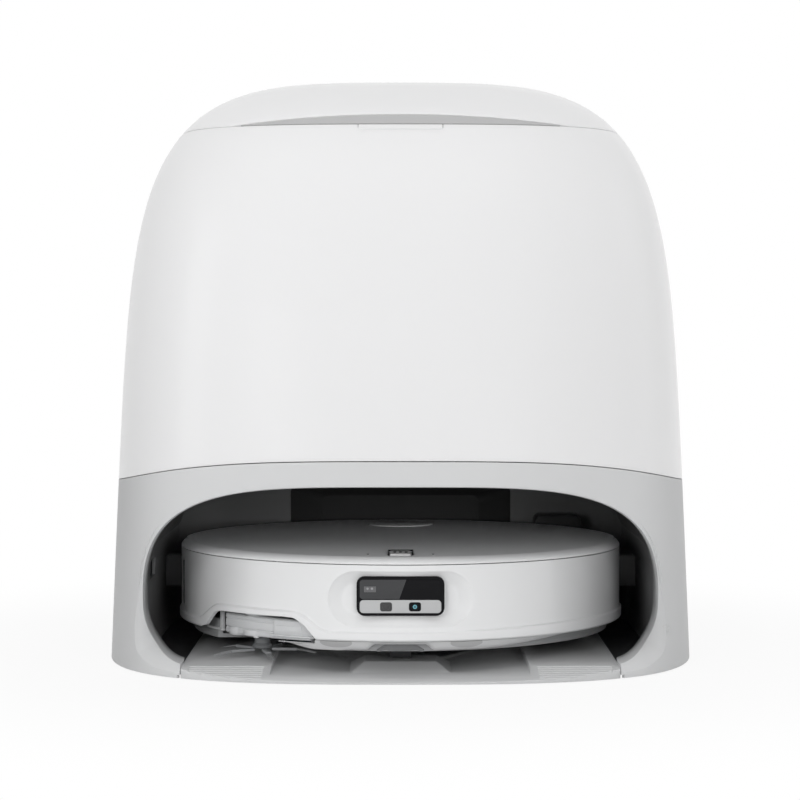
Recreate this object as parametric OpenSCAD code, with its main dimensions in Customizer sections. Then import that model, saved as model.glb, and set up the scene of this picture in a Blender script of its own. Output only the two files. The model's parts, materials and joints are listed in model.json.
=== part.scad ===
/* [Station shells] */
// Height of the station
station_h = 450; // [440:1:470]
// Width of a pillar beside the mouth
pillar_w = 39; // [36:0.5:48]
// Room for the machinery behind the bay
machine_room = 59; // [57:1:70]
// Wall of the outer shells
shell_t = 3; // [2.4:0.2:3.6]
// Gap between neighbouring shells
shell_gap = 0.6; // [0.4:0.1:0.8]
// Height of the seam between base and covers, at the middle
seam_h = 160; // [158:1:168]
// How far that seam drops towards the sides
seam_drop = 22; // [14:1:24]
// Height of the lid above its seam
lid_h = 42; // [38:1:46]
// Width of the finger recess in the front of the lid
recess_w = 256; // [160:4:270]
// Height of the finger recess
recess_h = 8; // [6:0.5:10]
// Distance of each hinge from the middle
hinge_x = 70; // [50:2:90]
// Radius of the hinge knuckles
knuckle_r = 4.5; // [4:0.25:6]
// Radius of the hinge pins
hinge_pin_r = 2; // [1.5:0.25:2.5]

/* [Robot bay] */
// Gap between the robot and each side of the mouth
mouth_gap = 14; // [12:0.5:18]
// Height of the arched mouth
mouth_h = 142; // [136:1:144]
// How much wider the bay is than its mouth, on each side
bay_grow = 7; // [6:0.5:9]
// Wall of the bay liner
liner_t = 2.5; // [2:0.25:3]
// Gap between the parked robot and the bay's back wall
back_gap = 6; // [5:0.5:12]
// Depth of the pocket in the bay's back wall
pocket_depth = 20; // [12:1:24]
// Half width of that pocket at its mouth
pocket_half_w = 97; // [80:1:100]
// Height of the pocket
pocket_top = 118; // [90:1:120]
// Width of a charging contact
contact_w = 12; // [8:1:16]
// Height of a charging contact
contact_h = 17; // [12:1:20]
// Spring travel of a charging contact
contact_travel = 3; // [2:0.5:4]

/* [Tray] */
// Width of the removable tray
tray_w = 320; // [312:1:322]
// Height of the tray's top face
tray_top = 9.2; // [8.6:0.1:9.8]
// Thickness of the tray's floor
tray_floor_t = 1.8; // [1.4:0.1:2.2]
// Depth of the ramp at the tray's front
ramp_l = 42; // [34:1:48]
// Number of ribs on each ramp
ramp_ribs = 7; // [5:1:8]
// Inner edge of the ramps and wheel tracks
track_in = 94; // [90:1:98]
// Height of the rubber feet
foot_h = 1.5; // [1.2:0.1:2]
// Radius of a rubber foot
foot_r = 11; // [8:1:14]
// Thickness of the base plate
plate_t = 1.5; // [1.2:0.1:2]

/* [Tanks and air path] */
// Thickness of the inner deck over the bay
deck_t = 3; // [2.5:0.25:4]
// Drop from the lid's seam to the top deck
deck_drop = 10; // [8:1:14]
// Distance of the water tanks inside the station's side
tank_inset = 60; // [58:1:80]
// Wall of a water tank
tank_t = 2.2; // [1.8:0.1:3]
// Front face of the water tanks
tank_y0 = -14; // [-20:1:0]
// Distance of the water tanks inside the station's back
tank_back_gap = 44; // [42:1:70]
// Length of a tank handle from its pivot
handle_l = 28; // [24:1:28]
// Width of a tank handle
handle_w = 70; // [56:1:70]
// Radius of a handle's pivot pins
handle_pin_r = 2.5; // [2:0.25:3]
// Width of the dust bag
bag_w = 120; // [90:1:124]
// Height of the dust bag
bag_h = 118; // [90:1:130]
// Radius of the suction motor
motor_r = 42; // [34:1:46]
// Height of the suction motor
motor_h = 84; // [60:1:100]

/* [Robot body] */
// Radius of the robot
robot_r = 175; // [172:0.5:176]
// Height of the robot
robot_h = 80; // [79:0.5:84]
// Place of the robot's centre in the bay
robot_y = -18; // [-20:1:-12]
// Thickness of the bumper and the rear band
band_t = 3.5; // [3:0.25:4]
// Height of the seam between bumper and top
robot_seam = 74; // [73:0.5:75]
// Height of the bumper's lower edge
bumper_z = 18.2; // [17:0.2:20]
// Travel of the bumper
bumper_travel = 3; // [2:0.5:3.5]
// Width of the camera recess
camera_recess_w = 106; // [90:1:110]
// Height of the camera recess
camera_recess_h = 41; // [36:1:43]
// Height of the camera recess's centre
camera_z = 49; // [47:0.5:50]
// Width of the camera bezel
bezel_w = 64; // [56:1:72]
// Height of the camera bezel
bezel_h = 28.8; // [26:0.2:32]
// Ground clearance of the chassis floor
chassis_z = 10; // [9.5:0.25:11]
// Thickness of the chassis floor
chassis_t = 3; // [2.5:0.25:3.5]
// Distance of the lidar behind the robot's centre
lidar_y = 112; // [106:1:114]
// Radius of the lidar cap
lidar_r = 27; // [24:0.5:28]

/* [Robot running gear] */
// Radius of a drive wheel
wheel_r = 33; // [31:0.5:34]
// Width of a drive wheel
wheel_w = 22; // [18:0.5:24]
// Distance of each drive wheel's middle from the robot's centre
wheel_x = 112; // [111:0.5:114]
// Radius of a drive wheel's axle
axle_r = 5; // [4:0.25:6]
// Radius of the caster wheel
caster_r = 12; // [10:0.5:12.5]
// Distance of the caster in front of the robot's centre
caster_y = 128; // [126:1:132]
// Radius of a main brush over its fins
roller_r = 22; // [20:0.5:22.5]
// Number of fins on a main brush
roller_fins = 6; // [4:1:8]
// Length of a main brush
roller_l = 88; // [80:1:90]
// Reach of the side brush's bristles
bristle_r = 41; // [30:1:42]
// Number of bristle tufts
bristle_tufts = 5; // [3:1:6]
// Radius of a mop pad
mop_r = 60; // [54:0.5:60.5]
// Thickness of a mop pad
mop_t = 5; // [4:0.25:5.5]
// Distance of each mop's centre from the robot's middle plane
mop_x = 70; // [68:0.5:72]
// Distance of the mops behind the robot's centre
mop_y = 84; // [84:0.5:88]
// Lifting height of the mops
mop_rise = 10; // [6:0.5:10.5]

/* [Clearances] */
// Gap between pieces that sit or run beside each other
fit_gap = 0.3; // [0.2:0.05:0.4]
// Running clearance of pins and axles
run_gap = 0.05; // [0.02:0.01:0.09]

/* [Hidden] */
$fn = 96;

// Exponents of the station's rounded outline: sides, front and back over the height, and plan
side_taper = 19.5;
side_e = [6.6, 3.9];
front_e = [2.5, 3.2];
back_e = [9, 4];
plan_front_e = 3;
plan_back_e = 5.5;
seam_e = 3.5;
shell_foot = 1;
mouth_w = 2*(robot_r + mouth_gap);
bay_back_y = robot_y + robot_r + back_gap;
station_d = 2*(bay_back_y + machine_room);
station_w = mouth_w + 2*pillar_w;
lid_seam_h = station_h - lid_h;
top_deck_h = lid_seam_h - deck_drop;
plan_steps = 32;

// Bay: the mouth's side turns into an ellipse below this height
mouth_side_z = 52;
mouth_foot = [34, 38.5];
mouth_top_e = [2.7, 4];
liner_foot_z = foot_h + plate_t + fit_gap;
bay_half_w = mouth_w/2 + bay_grow;
bay_top = mouth_h + bay_grow/2;
bay_corner_r = 40;
deck_z = bay_top + liner_t + 2*fit_gap;
deck_top = deck_z + deck_t;
pillar_x = tray_w/2 + 2*fit_gap;

// Tray
tray_z = foot_h + plate_t + fit_gap;
tray_back_y = bay_back_y - 11;
basin_y = [0, 134];
basin_half_w = 140;
basin_floor_z = tray_z + tray_floor_t;
track_y1 = basin_y[0] - 2;

// Robot: its wheels stand a little over the tray
robot_z = tray_top + fit_gap;
band_in_r = robot_r - band_t;
chassis_r = band_in_r - bumper_travel - 3.5;
deck_plate_z = robot_seam + fit_gap;
deck_plate_t = 2.2;
cover_r = robot_r - 10;
cover_rear_r = robot_r - 3;
cover_z = deck_plate_z + deck_plate_t + fit_gap;

// Brush chamber, battery and bin inside the robot
chamber_half_w = 95;
chamber_y = [-85, -31];
chamber_wall = 2;
roller_y = -58;
roller_z = roller_r + 1;
chamber_top = roller_z + roller_r + 1.5;
bin_z = chamber_top + chamber_wall + fit_gap;
arm_x = [wheel_x - wheel_w/2 - 17, wheel_x - wheel_w/2 - 2];
arm_pivot = [24, 50];
arm_pin_r = 3;
recess_r = mop_r + 3;
recess_roof_z = mop_t + 4 + mop_rise + 3;
lidar_well_r = lidar_r + 1.5;
side_pivot = [-62, -caster_y];
side_hub = [-104, -112];
side_arm_z = 16;
side_shelf_z = 36;
key_half_w = 8;
key_y = [-robot_r + 15, -robot_r + 47];

// Range of half length h around c, and a range made longer by g at both ends
function around(c, h) = [c - h, c + h];
function widen(range, g) = [range[0] - g, range[1] + g];

function signed_pow(v, e) = sign(v)*pow(abs(v), e);
function swell(z, h, e) = pow(max(0, 1 - pow(z/h, e[0])), 1/e[1]);
function half_w(z, t) = (station_w/2 - t - side_taper*z/station_h)*swell(z, station_h - t, side_e);
function front_d(z, t) = (station_d/2 - t)*swell(z, station_h - t, front_e);
function back_d(z, t) = (station_d/2 - t)*swell(z, station_h - t, back_e);
// Point of the station's outline at plan angle a and height z, moved inwards by t
function outline(a, z, t) = sin(a) < 0
    ? [half_w(z, t)*signed_pow(cos(a), 2/plan_front_e),
       front_d(z, t)*signed_pow(sin(a), 2/plan_front_e), z]
    : [half_w(z, t)*signed_pow(cos(a), 2/plan_back_e),
       back_d(z, t)*signed_pow(sin(a), 2/plan_back_e), z];
// The same point, kept on its own side of the parting plane between cover and housing
function outline_front(a, z, t) = let (p = outline(a, z, t)) [p.x, min(p.y, -shell_gap/2), z];
function outline_back(a, z, t) = let (p = outline(a, z, t)) [p.x, max(p.y, shell_gap/2), z];
function plan_points(z, t) = [for (i = [0:2*plan_steps - 1]) let (p = outline(i*180/plan_steps, z, t))
    [p.x, p.y]];
// Height of the seam at plan angle a: it depends on x alone, so that the cover can be pulled off
function seam_z(a, t) = let (x = outline(a, seam_h - seam_drop/2, t).x)
    seam_h - seam_drop*pow(abs(x)/half_w(seam_h, 0), seam_e);
// Height of the lid's lower edge, raised at the front by the finger recess
function lid_edge(a) = let (x = outline(a, lid_seam_h, 0).x, u = 2*x/recess_w)
    lid_seam_h + shell_gap/2 + (sin(a) < 0 && abs(u) < 1 ? recess_h*(1 - u*u) : 0);
function flat(lists) = [for (list = lists) for (p = list) p];

// Wall between an outer and an inner grid of points, both given as rows from low to high.
// ring joins the last column to the first; capped closes both grids at the top.
module wall_of(outer, inner, ring = false, capped = false) {
    rows = len(outer);
    n = len(outer[0]);
    half = rows*n;
    last = ring ? n - 1 : n - 2;
    function at(k, j) = k*n + j%n;
    sides = [for (k = [0:rows - 2]) for (j = [0:last]) for (f = [
        [at(k, j), at(k + 1, j), at(k + 1, j + 1)], [at(k, j), at(k + 1, j + 1), at(k, j + 1)],
        [half + at(k, j), half + at(k + 1, j + 1), half + at(k + 1, j)],
        [half + at(k, j), half + at(k, j + 1), half + at(k + 1, j + 1)]]) f];
    foot = [for (j = [0:last]) for (f = [
        [at(0, j), at(0, j + 1), half + at(0, j + 1)], [at(0, j), half + at(0, j + 1), half + at(0, j)]]) f];
    top = rows - 1;
    head = capped
        ? [[for (j = [n - 1:-1:0]) at(top, j)], [for (j = [0:n - 1]) half + at(top, j)]]
        : [for (j = [0:last]) for (f = [
            [at(top, j), half + at(top, j), half + at(top, j + 1)],
            [at(top, j), half + at(top, j + 1), at(top, j + 1)]]) f];
    ends = ring ? [] : [for (k = [0:rows - 2]) for (f = [
        [half + at(k, 0), half + at(k + 1, 0), at(k + 1, 0)], [half + at(k, 0), at(k + 1, 0), at(k, 0)],
        [half + at(k, n - 1), at(k + 1, n - 1), half + at(k + 1, n - 1)],
        [half + at(k, n - 1), at(k, n - 1), at(k + 1, n - 1)]]) f];
    polyhedron(points = concat(flat(outer), flat(inner)), faces = concat(sides, foot, head, ends));
}

// Closed solid between a low and a high stack of outline rows
module loft_solid(z0, z1, t, rows) {
    n = 2*plan_steps;
    points = flat([for (k = [0:rows]) [for (j = [0:n - 1])
        outline(j*180/plan_steps, z0 + (z1 - z0)*k/rows, t)]]);
    sides = [for (k = [0:rows - 1]) for (j = [0:n - 1]) for (f = [
        [k*n + j, (k + 1)*n + j, (k + 1)*n + (j + 1)%n],
        [k*n + j, (k + 1)*n + (j + 1)%n, k*n + (j + 1)%n]]) f];
    polyhedron(points = points, faces = concat(sides,
        [[for (j = [0:n - 1]) j]], [[for (j = [n - 1:-1:0]) rows*n + j]]));
}

module block(x, y, z) {
    translate([x[0], y[0], z[0]]) cube([x[1] - x[0], y[1] - y[0], z[1] - z[0]]);
}

module rounded_rect(x, y, r) {
    translate([x[0] + r, y[0]]) square([x[1] - x[0] - 2*r, y[1] - y[0]]);
    translate([x[0], y[0] + r]) square([x[1] - x[0], y[1] - y[0] - 2*r]);
    for (cx = [x[0] + r, x[1] - r], cy = [y[0] + r, y[1] - r]) translate([cx, cy]) circle(r);
}

module rounded_block(x, y, z, r) {
    translate([0, 0, z[0]]) linear_extrude(z[1] - z[0]) rounded_rect(x, y, r);
}

// Rounded rectangle in the XZ plane, pushed through from y[0] to y[1]
module facing_block(x, y, z, r) {
    translate([0, y[1], 0]) rotate([90, 0, 0]) linear_extrude(y[1] - y[0]) rounded_rect(x, z, r);
}

module tube(r0, r1, z0, z1) {
    translate([0, 0, z0]) difference() {
        cylinder(r = r1, h = z1 - z0);
        translate([0, 0, -1]) cylinder(r = r0, h = z1 - z0 + 2);
    }
}

module disc(r, z0, z1) {
    translate([0, 0, z0]) cylinder(r = r, h = z1 - z0);
}

// Rod along X
module rod(r, x0, x1) {
    translate([x0, 0, 0]) rotate([0, 90, 0]) cylinder(r = r, h = x1 - x0);
}

module swept(profile, a0, a1) {
    rotate([0, 0, a0]) rotate_extrude(angle = a1 - a0) polygon(profile);
}

module on_robot() {
    translate([0, robot_y, robot_z]) children();
}

// side is 1 for the right half (+X) and -1 for the left
module sided(side) {
    mirror([side < 0 ? 1 : 0, 0, 0]) children();
}

// Upper outline of the bay or its mouth: half width w, top height h
function arch(w, h) = [for (i = [0:24]) let (a = i*180/24, s = pow(sin(a), 2/mouth_top_e[0]))
    [w*sign(cos(a))*pow(max(0, 1 - pow(s, mouth_top_e[0])), 1/mouth_top_e[1]),
     mouth_side_z + (h - mouth_side_z)*s]];

module arch_prism(w, h, y0, y1, z0) {
    translate([0, y1, 0]) rotate([90, 0, 0]) linear_extrude(y1 - y0)
        polygon(concat([[w, z0]], arch(w, h), [[-w, z0]]));
}

// The mouth narrows to the tray below its widest height
module mouth_cut() {
    inner_x = mouth_w/2 - mouth_foot[0];
    a_end = acos((pillar_x - inner_x)/mouth_foot[0]);
    right = [for (i = [0:8]) let (a = a_end*i/8)
        [inner_x + mouth_foot[0]*cos(a), mouth_side_z - mouth_foot[1]*sin(a)]];
    left = [for (i = [8:-1:0]) [-right[i].x, right[i].y]];
    translate([0, -120, 0]) rotate([90, 0, 0]) linear_extrude(station_d)
        polygon(concat([[pillar_x, -1]], [for (i = [8:-1:1]) right[i]],
            arch(mouth_w/2, mouth_h), [for (i = [1:8]) left[8 - i]], [[-pillar_x, -1]]));
}

// ---- Station ----

function ring_rows(rows, t, low) = [for (k = [0:rows]) [for (j = [0:2*plan_steps - 1])
    let (a = j*180/plan_steps, top = seam_z(a, t) - shell_gap/2)
    outline(a, low + (top - low)*k/rows, t)]];

module base_shell() {
    color("#a9abad") difference() {
        union() {
            wall_of(ring_rows(4, 0, shell_foot), ring_rows(4, shell_t, shell_foot), ring = true);
            intersection() {
                loft_solid(shell_foot, mouth_side_z + 8, shell_t/2, 3);
                for (s = [-1, 1]) sided(s) pillar_foot(0);
            }
        }
        mouth_cut();
        facing_block(widen(inlet_x, fit_gap), [station_d/2 - 30, station_d/2 + 5],
            widen(inlet_z, fit_gap), inlet_r);
    }
}

// Solid foot of a pillar, on the right
pillar_foot_y = -150;
module pillar_foot(grow) {
    block([pillar_x - grow, bay_half_w - fit_gap + grow], [-station_d/2, pillar_foot_y + grow],
        [shell_foot - grow, mouth_side_z + 6]);
}

inlet_x = [116, 148];
inlet_z = [18, 42];
inlet_r = 5;

function half_rows(rows, t, back, upper) = [for (k = [0:rows]) [for (j = [0:plan_steps])
    let (a = (back ? 0 : 180) + j*180/plan_steps, low = seam_z(a, t) + shell_gap/2,
        u = k/rows, z = low + (lid_seam_h - shell_gap/2 - low)*u*(1 + upper - upper*u))
    back ? outline_back(a, z, t) : outline_front(a, z, t)]];

module housing() {
    color("#f1f2f2") difference() {
        union() {
            wall_of(half_rows(10, 0, true, 0.4), half_rows(10, shell_t, true, 0.4));
            for (s = [-1, 1]) translate([s*hinge_x, 0, 0]) hinge_knuckle(-12, -4.2);
            for (s = [-1, 1]) translate([s*hinge_x, 0, 0]) hinge_knuckle(4.2, 12);
        }
        for (s = [-1, 1]) translate([s*hinge_x, hinge_y, hinge_z]) rod(hinge_pin_r + run_gap, -13, 13);
        for (s = [-1, 1]) translate([s*hinge_x, 0, 0]) block([-4.2, 4.2],
            [hinge_y - knuckle_r - shell_gap, station_d/2],
            [hinge_z - knuckle_r - shell_gap, lid_seam_h + 1]);
        for (i = [0:vent_slots - 1]) rounded_vent(seam_h + 40 + i*vent_pitch);
    }
}

vent_slots = 8;
vent_pitch = 9;
module rounded_vent(z) {
    facing_block([-60, 60], [station_d/2 - 20, station_d/2 + 1], [z, z + 4], 1.9);
}

// The lid turns about an axis just behind the shell and below its seam
hinge_y = back_d(lid_seam_h, 0) + knuckle_r + 0.8;
hinge_z = lid_seam_h - 6;

module hinge_knuckle(x0, x1) {
    translate([0, hinge_y, hinge_z]) rod(knuckle_r, x0, x1);
    block([x0, x1], [back_d(hinge_z, shell_t/2), hinge_y], [hinge_z - knuckle_r, hinge_z]);
}

module front_cover() {
    color("#f6f6f6") difference() {
        wall_of(half_rows(14, 0, false, 0.6), half_rows(14, shell_t, false, 0.6));
        block([-tab_half_w - fit_gap, tab_half_w + fit_gap], [-station_d/2, -100],
            [tab_z[0] - fit_gap, lid_seam_h]);
    }
}

tab_half_w = 31.5;
tab_z = [lid_seam_h - 4, lid_seam_h - shell_gap/2];
module status_tab() {
    y = -front_d(tab_z[1], 0);
    color("#e6e8ea") facing_block([-tab_half_w, tab_half_w], [y - 1.2, y + shell_t], tab_z, 1.2);
}

module lid() {
    rows = 12;
    function level(a, k, t) = let (u = k/rows, low = lid_edge(a), high = station_h - t)
        low + (high - low)*(1 - pow(1 - u, 1.8));
    function grid(t) = [for (k = [0:rows]) [for (j = [0:2*plan_steps - 1])
        let (a = j*180/plan_steps) outline(a, min(level(a, k, t), station_h - t - 0.02), t)]];
    color("#f4f4f4") difference() {
        union() {
            wall_of(grid(0), grid(shell_t), ring = true, capped = true);
            for (s = [-1, 1]) translate([s*hinge_x, 0, 0]) {
                translate([0, hinge_y, hinge_z]) rod(knuckle_r, -3.9, 3.9);
                block([-3.9, 3.9], [hinge_y - knuckle_r + 0.5, hinge_y + 2],
                    [hinge_z, lid_seam_h + 8]);
                block([-3.9, 3.9], [back_d(lid_seam_h + 9, shell_t/2), hinge_y + 2],
                    [lid_seam_h + 2, lid_seam_h + 9]);
            }
        }
        for (s = [-1, 1]) translate([s*hinge_x, hinge_y, hinge_z]) rod(hinge_pin_r + run_gap, -5, 5);
    }
}

module hinge_pins() {
    color("silver") for (s = [-1, 1]) translate([s*hinge_x, hinge_y, hinge_z]) rod(hinge_pin_r, -11.8, 11.8);
}

// Tanks: x range of the right one; the left one is its mirror image
tank_x = [6, station_w/2 - tank_inset];
tank_y1 = station_d/2 - tank_back_gap;
tank_corner_r = 28;
tank_z = [deck_top + fit_gap, top_deck_h - 4];
deck_rim_h = 18;

module top_deck() {
    plate = [top_deck_h, top_deck_h + 2.5];
    color("#c6c8c9") difference() {
        union() {
            translate([0, 0, plate[0]]) linear_extrude(plate[1] - plate[0])
                polygon(plan_points(plate[1], shell_t + 2*fit_gap));
            translate([0, 0, plate[0]]) linear_extrude(plate[1] - plate[0] + deck_rim_h)
                difference() {
                    polygon(plan_points(plate[1] + deck_rim_h, shell_t + 3));
                    polygon(plan_points(plate[1] + deck_rim_h, shell_t + 5.5));
                }
        }
        for (s = [-1, 1]) sided(s) rounded_block(widen(tank_x, 1), [tank_y0 - 1, tank_y1 - 14],
            [plate[0] - 1, plate[1] + 1], tank_corner_r);
    }
}

frame_x = tank_x[1] - 18;
module inner_frame() {
    bulkhead_y = [tank_y0 - 12, tank_y0 - 8.5];
    color("#d8dadb") difference() {
        union() {
            translate([0, 0, deck_z]) linear_extrude(deck_t)
                polygon(plan_points(deck_top + 8, shell_t + fit_gap));
            block([-frame_x, frame_x], bulkhead_y, [deck_top - 1, top_deck_h - fit_gap]);
            for (x = [-frame_x, frame_x - 3]) block([x, x + 3], [bulkhead_y[0] - 30, bulkhead_y[1]],
                [deck_top - 1, top_deck_h - fit_gap]);
        }
        duct_cut();
    }
}

// ---- Robot bay ----

module bay_space(grow, back, z0, z1_extra) {
    intersection() {
        arch_prism(bay_half_w + grow, bay_top + z1_extra, -station_d/2, back, z0);
        rounded_block([-bay_half_w - grow, bay_half_w + grow], [-station_d, back],
            [z0, bay_top + z1_extra + 1], bay_corner_r + grow);
    }
}

contact_y = robot_y + 80;
contact_z = [robot_z + 36, robot_z + 36 + contact_h];
contact_tip_x = sqrt(pow(robot_r - 1.5, 2) - pow(contact_y - robot_y - contact_w/2, 2)) + fit_gap;
contact_seat_x = contact_tip_x + 22;

module contact_sleeve(grow) {
    block([contact_seat_x, bay_half_w + 1], around(contact_y, contact_w/2 + grow),
        widen(contact_z, grow));
}

module bay_liner() {
    color("#3a3c3f") difference() {
        union() {
            difference() {
                intersection() {
                    bay_space(liner_t, bay_back_y + liner_t, liner_foot_z, liner_t);
                    loft_solid(liner_foot_z - 0.5, seam_h + 10, shell_t + fit_gap, 4);
                }
                bay_space(0, bay_back_y, liner_foot_z - 1, 0);
            }
            for (s = [-1, 1]) sided(s) contact_sleeve(4);
        }
        for (s = [-1, 1]) sided(s) translate([-contact_travel, 0, 0]) contact_sleeve(fit_gap);
        facing_block([-pocket_half_w, pocket_half_w], [bay_back_y - 1, bay_back_y + liner_t + 1],
            [tray_top + 6, pocket_top], 6);
        block([-bay_half_w - liner_t - 1, -bay_half_w + 1], widen(duct_y, -3), [60, 84]);
    }
}

module rear_pocket() {
    module funnel(grow, extra) {
        hull() {
            facing_block([-pocket_half_w - grow, pocket_half_w + grow],
                [bay_back_y + liner_t + fit_gap - extra, bay_back_y + liner_t + fit_gap + 0.1],
                [tray_top + 6 - grow, pocket_top + grow], 7, $fn = 32);
            facing_block([-pocket_half_w + 27 - grow, pocket_half_w - 27 + grow],
                [bay_back_y + pocket_depth + grow/2, bay_back_y + pocket_depth + grow/2 + 0.1],
                [tray_top + 14 - grow, pocket_top - 10 + grow], 7, $fn = 32);
        }
    }
    color("#2b2d30") difference() {
        union() {
            funnel(2.2, 0);
            facing_block([-pocket_half_w - 6, pocket_half_w + 6],
                [bay_back_y + liner_t + fit_gap, bay_back_y + liner_t + fit_gap + 2],
                [tray_top + 1, pocket_top + 6], 7);
        }
        funnel(0, 1);
    }
}

nozzle_x = [117, 157];
module refill_nozzle() {
    y = [bay_back_y - 43, bay_back_y - fit_gap];
    color("#44474a") difference() {
        union() {
            facing_block(nozzle_x, [y[0] + 8, y[1]], [58, 94], 6);
            for (x = [nozzle_x[0] + 11, nozzle_x[1] - 11]) translate([x, y[0] + 9, 78])
                rotate([90, 0, 0]) cylinder(r = 6, h = 9);
        }
        for (x = [nozzle_x[0] + 11, nozzle_x[1] - 11]) translate([x, y[1] + 1, 78])
            rotate([90, 0, 0]) cylinder(r = 3, h = 50);
    }
}

module contact(side) {
    color("#b9bcc0") sided(side) union() {
        block([contact_tip_x + 3, bay_half_w - 2*contact_travel - 1], around(contact_y, contact_w/2),
            contact_z);
        block([contact_tip_x, contact_tip_x + 3.5], around(contact_y, contact_w/2),
            widen(contact_z, -2));
    }
}
module contact_left() { contact(-1); }
module contact_right() { contact(1); }

// ---- Tray and base ----

module tray_plan(y0, y1, half) {
    intersection() {
        polygon(plan_points(0, 1));
        translate([-half, y0]) square([2*half, y1 - y0]);
    }
}

ramp_y1 = -station_d/2 + 1 + ramp_l;
module wash_tray() {
    front = -station_d/2;
    rib_pitch = (ramp_l - 12)/ramp_ribs;
    color("#b4b6b8") difference() {
        union() {
            translate([0, 0, tray_z]) linear_extrude(tray_floor_t)
                tray_plan(ramp_y1 - 1, tray_back_y, tray_w/2);
            for (s = [-1, 1]) sided(s)
                block([track_in, tray_w/2], [ramp_y1 - 1, track_y1], [tray_z, tray_top]);
            difference() {
                block([-tray_w/2, tray_w/2], [track_y1 - 0.5, tray_back_y], [tray_z, tray_top]);
                rounded_block([-basin_half_w, basin_half_w], basin_y, [basin_floor_z, tray_top + 1], 30);
            }
            ramp_wedge();
            rounded_block([-30, 30], around(robot_y - caster_y, 25), [tray_z, tray_top - 1.6], 8);
            rounded_block([-23, 23], around(robot_y - caster_y, 20), [tray_z, tray_top], 6);
        }
        for (s = [-1, 1]) for (i = [0:ramp_ribs - 1]) sided(s)
            ramp_groove(ramp_y1 - 6 - i*rib_pitch, rib_pitch/2);
        translate([0, front, 0])
            block([-track_in, track_in], [-1, ramp_l + 2], [basin_floor_z, tray_top + 1]);
    }
}

// Slope of the ramp, worked out at a distance behind the tray's nose
function ramp_z(y) = 2.2 + (tray_top - 2.2)*min(1, (y - (ramp_y1 - ramp_l))/(ramp_l - 4));

module ramp_wedge() {
    y0 = ramp_y1 - ramp_l;
    intersection() {
        translate([-tray_w/2, 0, 0]) rotate([90, 0, 90]) linear_extrude(tray_w)
            polygon([[y0, 0.8], [ramp_y1 - 2, 0.8], [ramp_y1 - 2, tray_z], [ramp_y1, tray_z],
                [ramp_y1, tray_top], [ramp_y1 - 4, tray_top], [y0, ramp_z(y0)]]);
        linear_extrude(tray_top + 1) tray_plan(y0 - 1, ramp_y1, tray_w/2);
    }
}

module ramp_groove(y, w) {
    translate([track_in + 6, 0, 0]) rotate([90, 0, 90]) linear_extrude(tray_w/2 - track_in - 12)
        polygon([[y - w, ramp_z(y - w) - 0.9], [y, ramp_z(y) - 0.9], [y, ramp_z(y) + 1],
            [y - w, ramp_z(y - w) + 1]]);
}

module washboard() {
    floor_z = basin_floor_z + fit_gap;
    color("#8f9295") difference() {
        union() {
            for (s = [-1, 1]) translate([s*mop_x, robot_y + mop_y, 0]) disc(mop_r, floor_z, floor_z + 1.2);
            for (s = [-1, 1]) for (i = [0:11]) translate([s*mop_x, robot_y + mop_y, 0])
                rotate([0, 0, i*30]) block([14, mop_r - 4], [-1.6, 1.6], [floor_z + 1, tray_top]);
        }
        for (s = [-1, 1]) translate([s*mop_x, robot_y + mop_y, 0]) disc(6, floor_z - 1, floor_z + 3);
    }
}

module base_plate() {
    color("#5b5e61") difference() {
        translate([0, 0, foot_h]) linear_extrude(plate_t) intersection() {
            polygon(plan_points(0, shell_t + fit_gap));
            translate([-station_w/2, ramp_y1 - 1.5]) square([station_w, station_d]);
        }
        for (s = [-1, 1]) sided(s) pillar_foot(fit_gap);
    }
}

module rubber_feet() {
    color("#2a2a2a") for (s = [-1, 1]) for (y = [-station_d/2 + 92, 20, station_d/2 - 52])
        translate([s*(station_w/2 - 56), y, 0]) disc(foot_r, 0, foot_h);
}

// ---- Water, dust and power ----

module tank() {
    x = tank_x;
    difference() {
        union() {
            rounded_block(x, [tank_y0, tank_y1], tank_z, tank_corner_r);
            rounded_block(widen(x, -10), [tank_y0 + 8, tank_y1 - 24],
                [tank_z[1] - 1, top_deck_h - 0.5], tank_corner_r - 8);
            for (x1 = [handle_x, handle_x + handle_w]) translate([x1, handle_y, 0])
                block([-5, 5], [-5, 5], [top_deck_h - 1, handle_z + 4.5]);
        }
        rounded_block(widen(x, -tank_t), [tank_y0 + tank_t, tank_y1 - tank_t],
            [tank_z[0] + tank_t, tank_z[1] - tank_t], tank_corner_r - tank_t);
        translate([0, handle_y, handle_z]) rod(handle_pin_r + run_gap, x[0], x[1]);
    }
}

handle_x = (tank_x[0] + tank_x[1] - handle_w)/2;
handle_y = 40;
handle_z = top_deck_h + 5;

module tank_handle(side) {
    sided(side) translate([0, handle_y, handle_z]) {
        for (s = [0, 1]) translate([handle_x + s*handle_w, 0, 0]) {
            d = s == 0 ? 1 : -1;
            rod(handle_pin_r, min(-4*d, 9*d), max(-4*d, 9*d));
            rod(4, min(5.4*d, 9*d), max(5.4*d, 9*d));
            block([min(5.4*d, 9*d), max(5.4*d, 9*d)], [0, handle_l], [-3, 3]);
        }
        translate([0, handle_l, 0]) rod(4.2, handle_x + 5.4, handle_x + handle_w - 5.4);
    }
}

module clean_tank() { color("#bfd4df") tank(); }
module dirty_tank() { color("#7f8b92") sided(-1) tank(); }
module clean_tank_handle() { color("#4f7fae") tank_handle(1); }
module dirty_tank_handle() { color("#55595c") tank_handle(-1); }

bag_x = [-bag_w + 20, 20];
bag_y = [-station_d/2 + 72, -station_d/2 + 166];
bag_z = [deck_top + fit_gap, deck_top + fit_gap + bag_h];
module dust_bag() {
    color("#dcd8cf") {
        rounded_block(bag_x, bag_y, bag_z, 16);
        rounded_block(widen(bag_x, -22), [bag_y[1] - 40, bag_y[1] + 6], [bag_z[1] - 1, bag_z[1] + 5], 6);
    }
}

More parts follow.
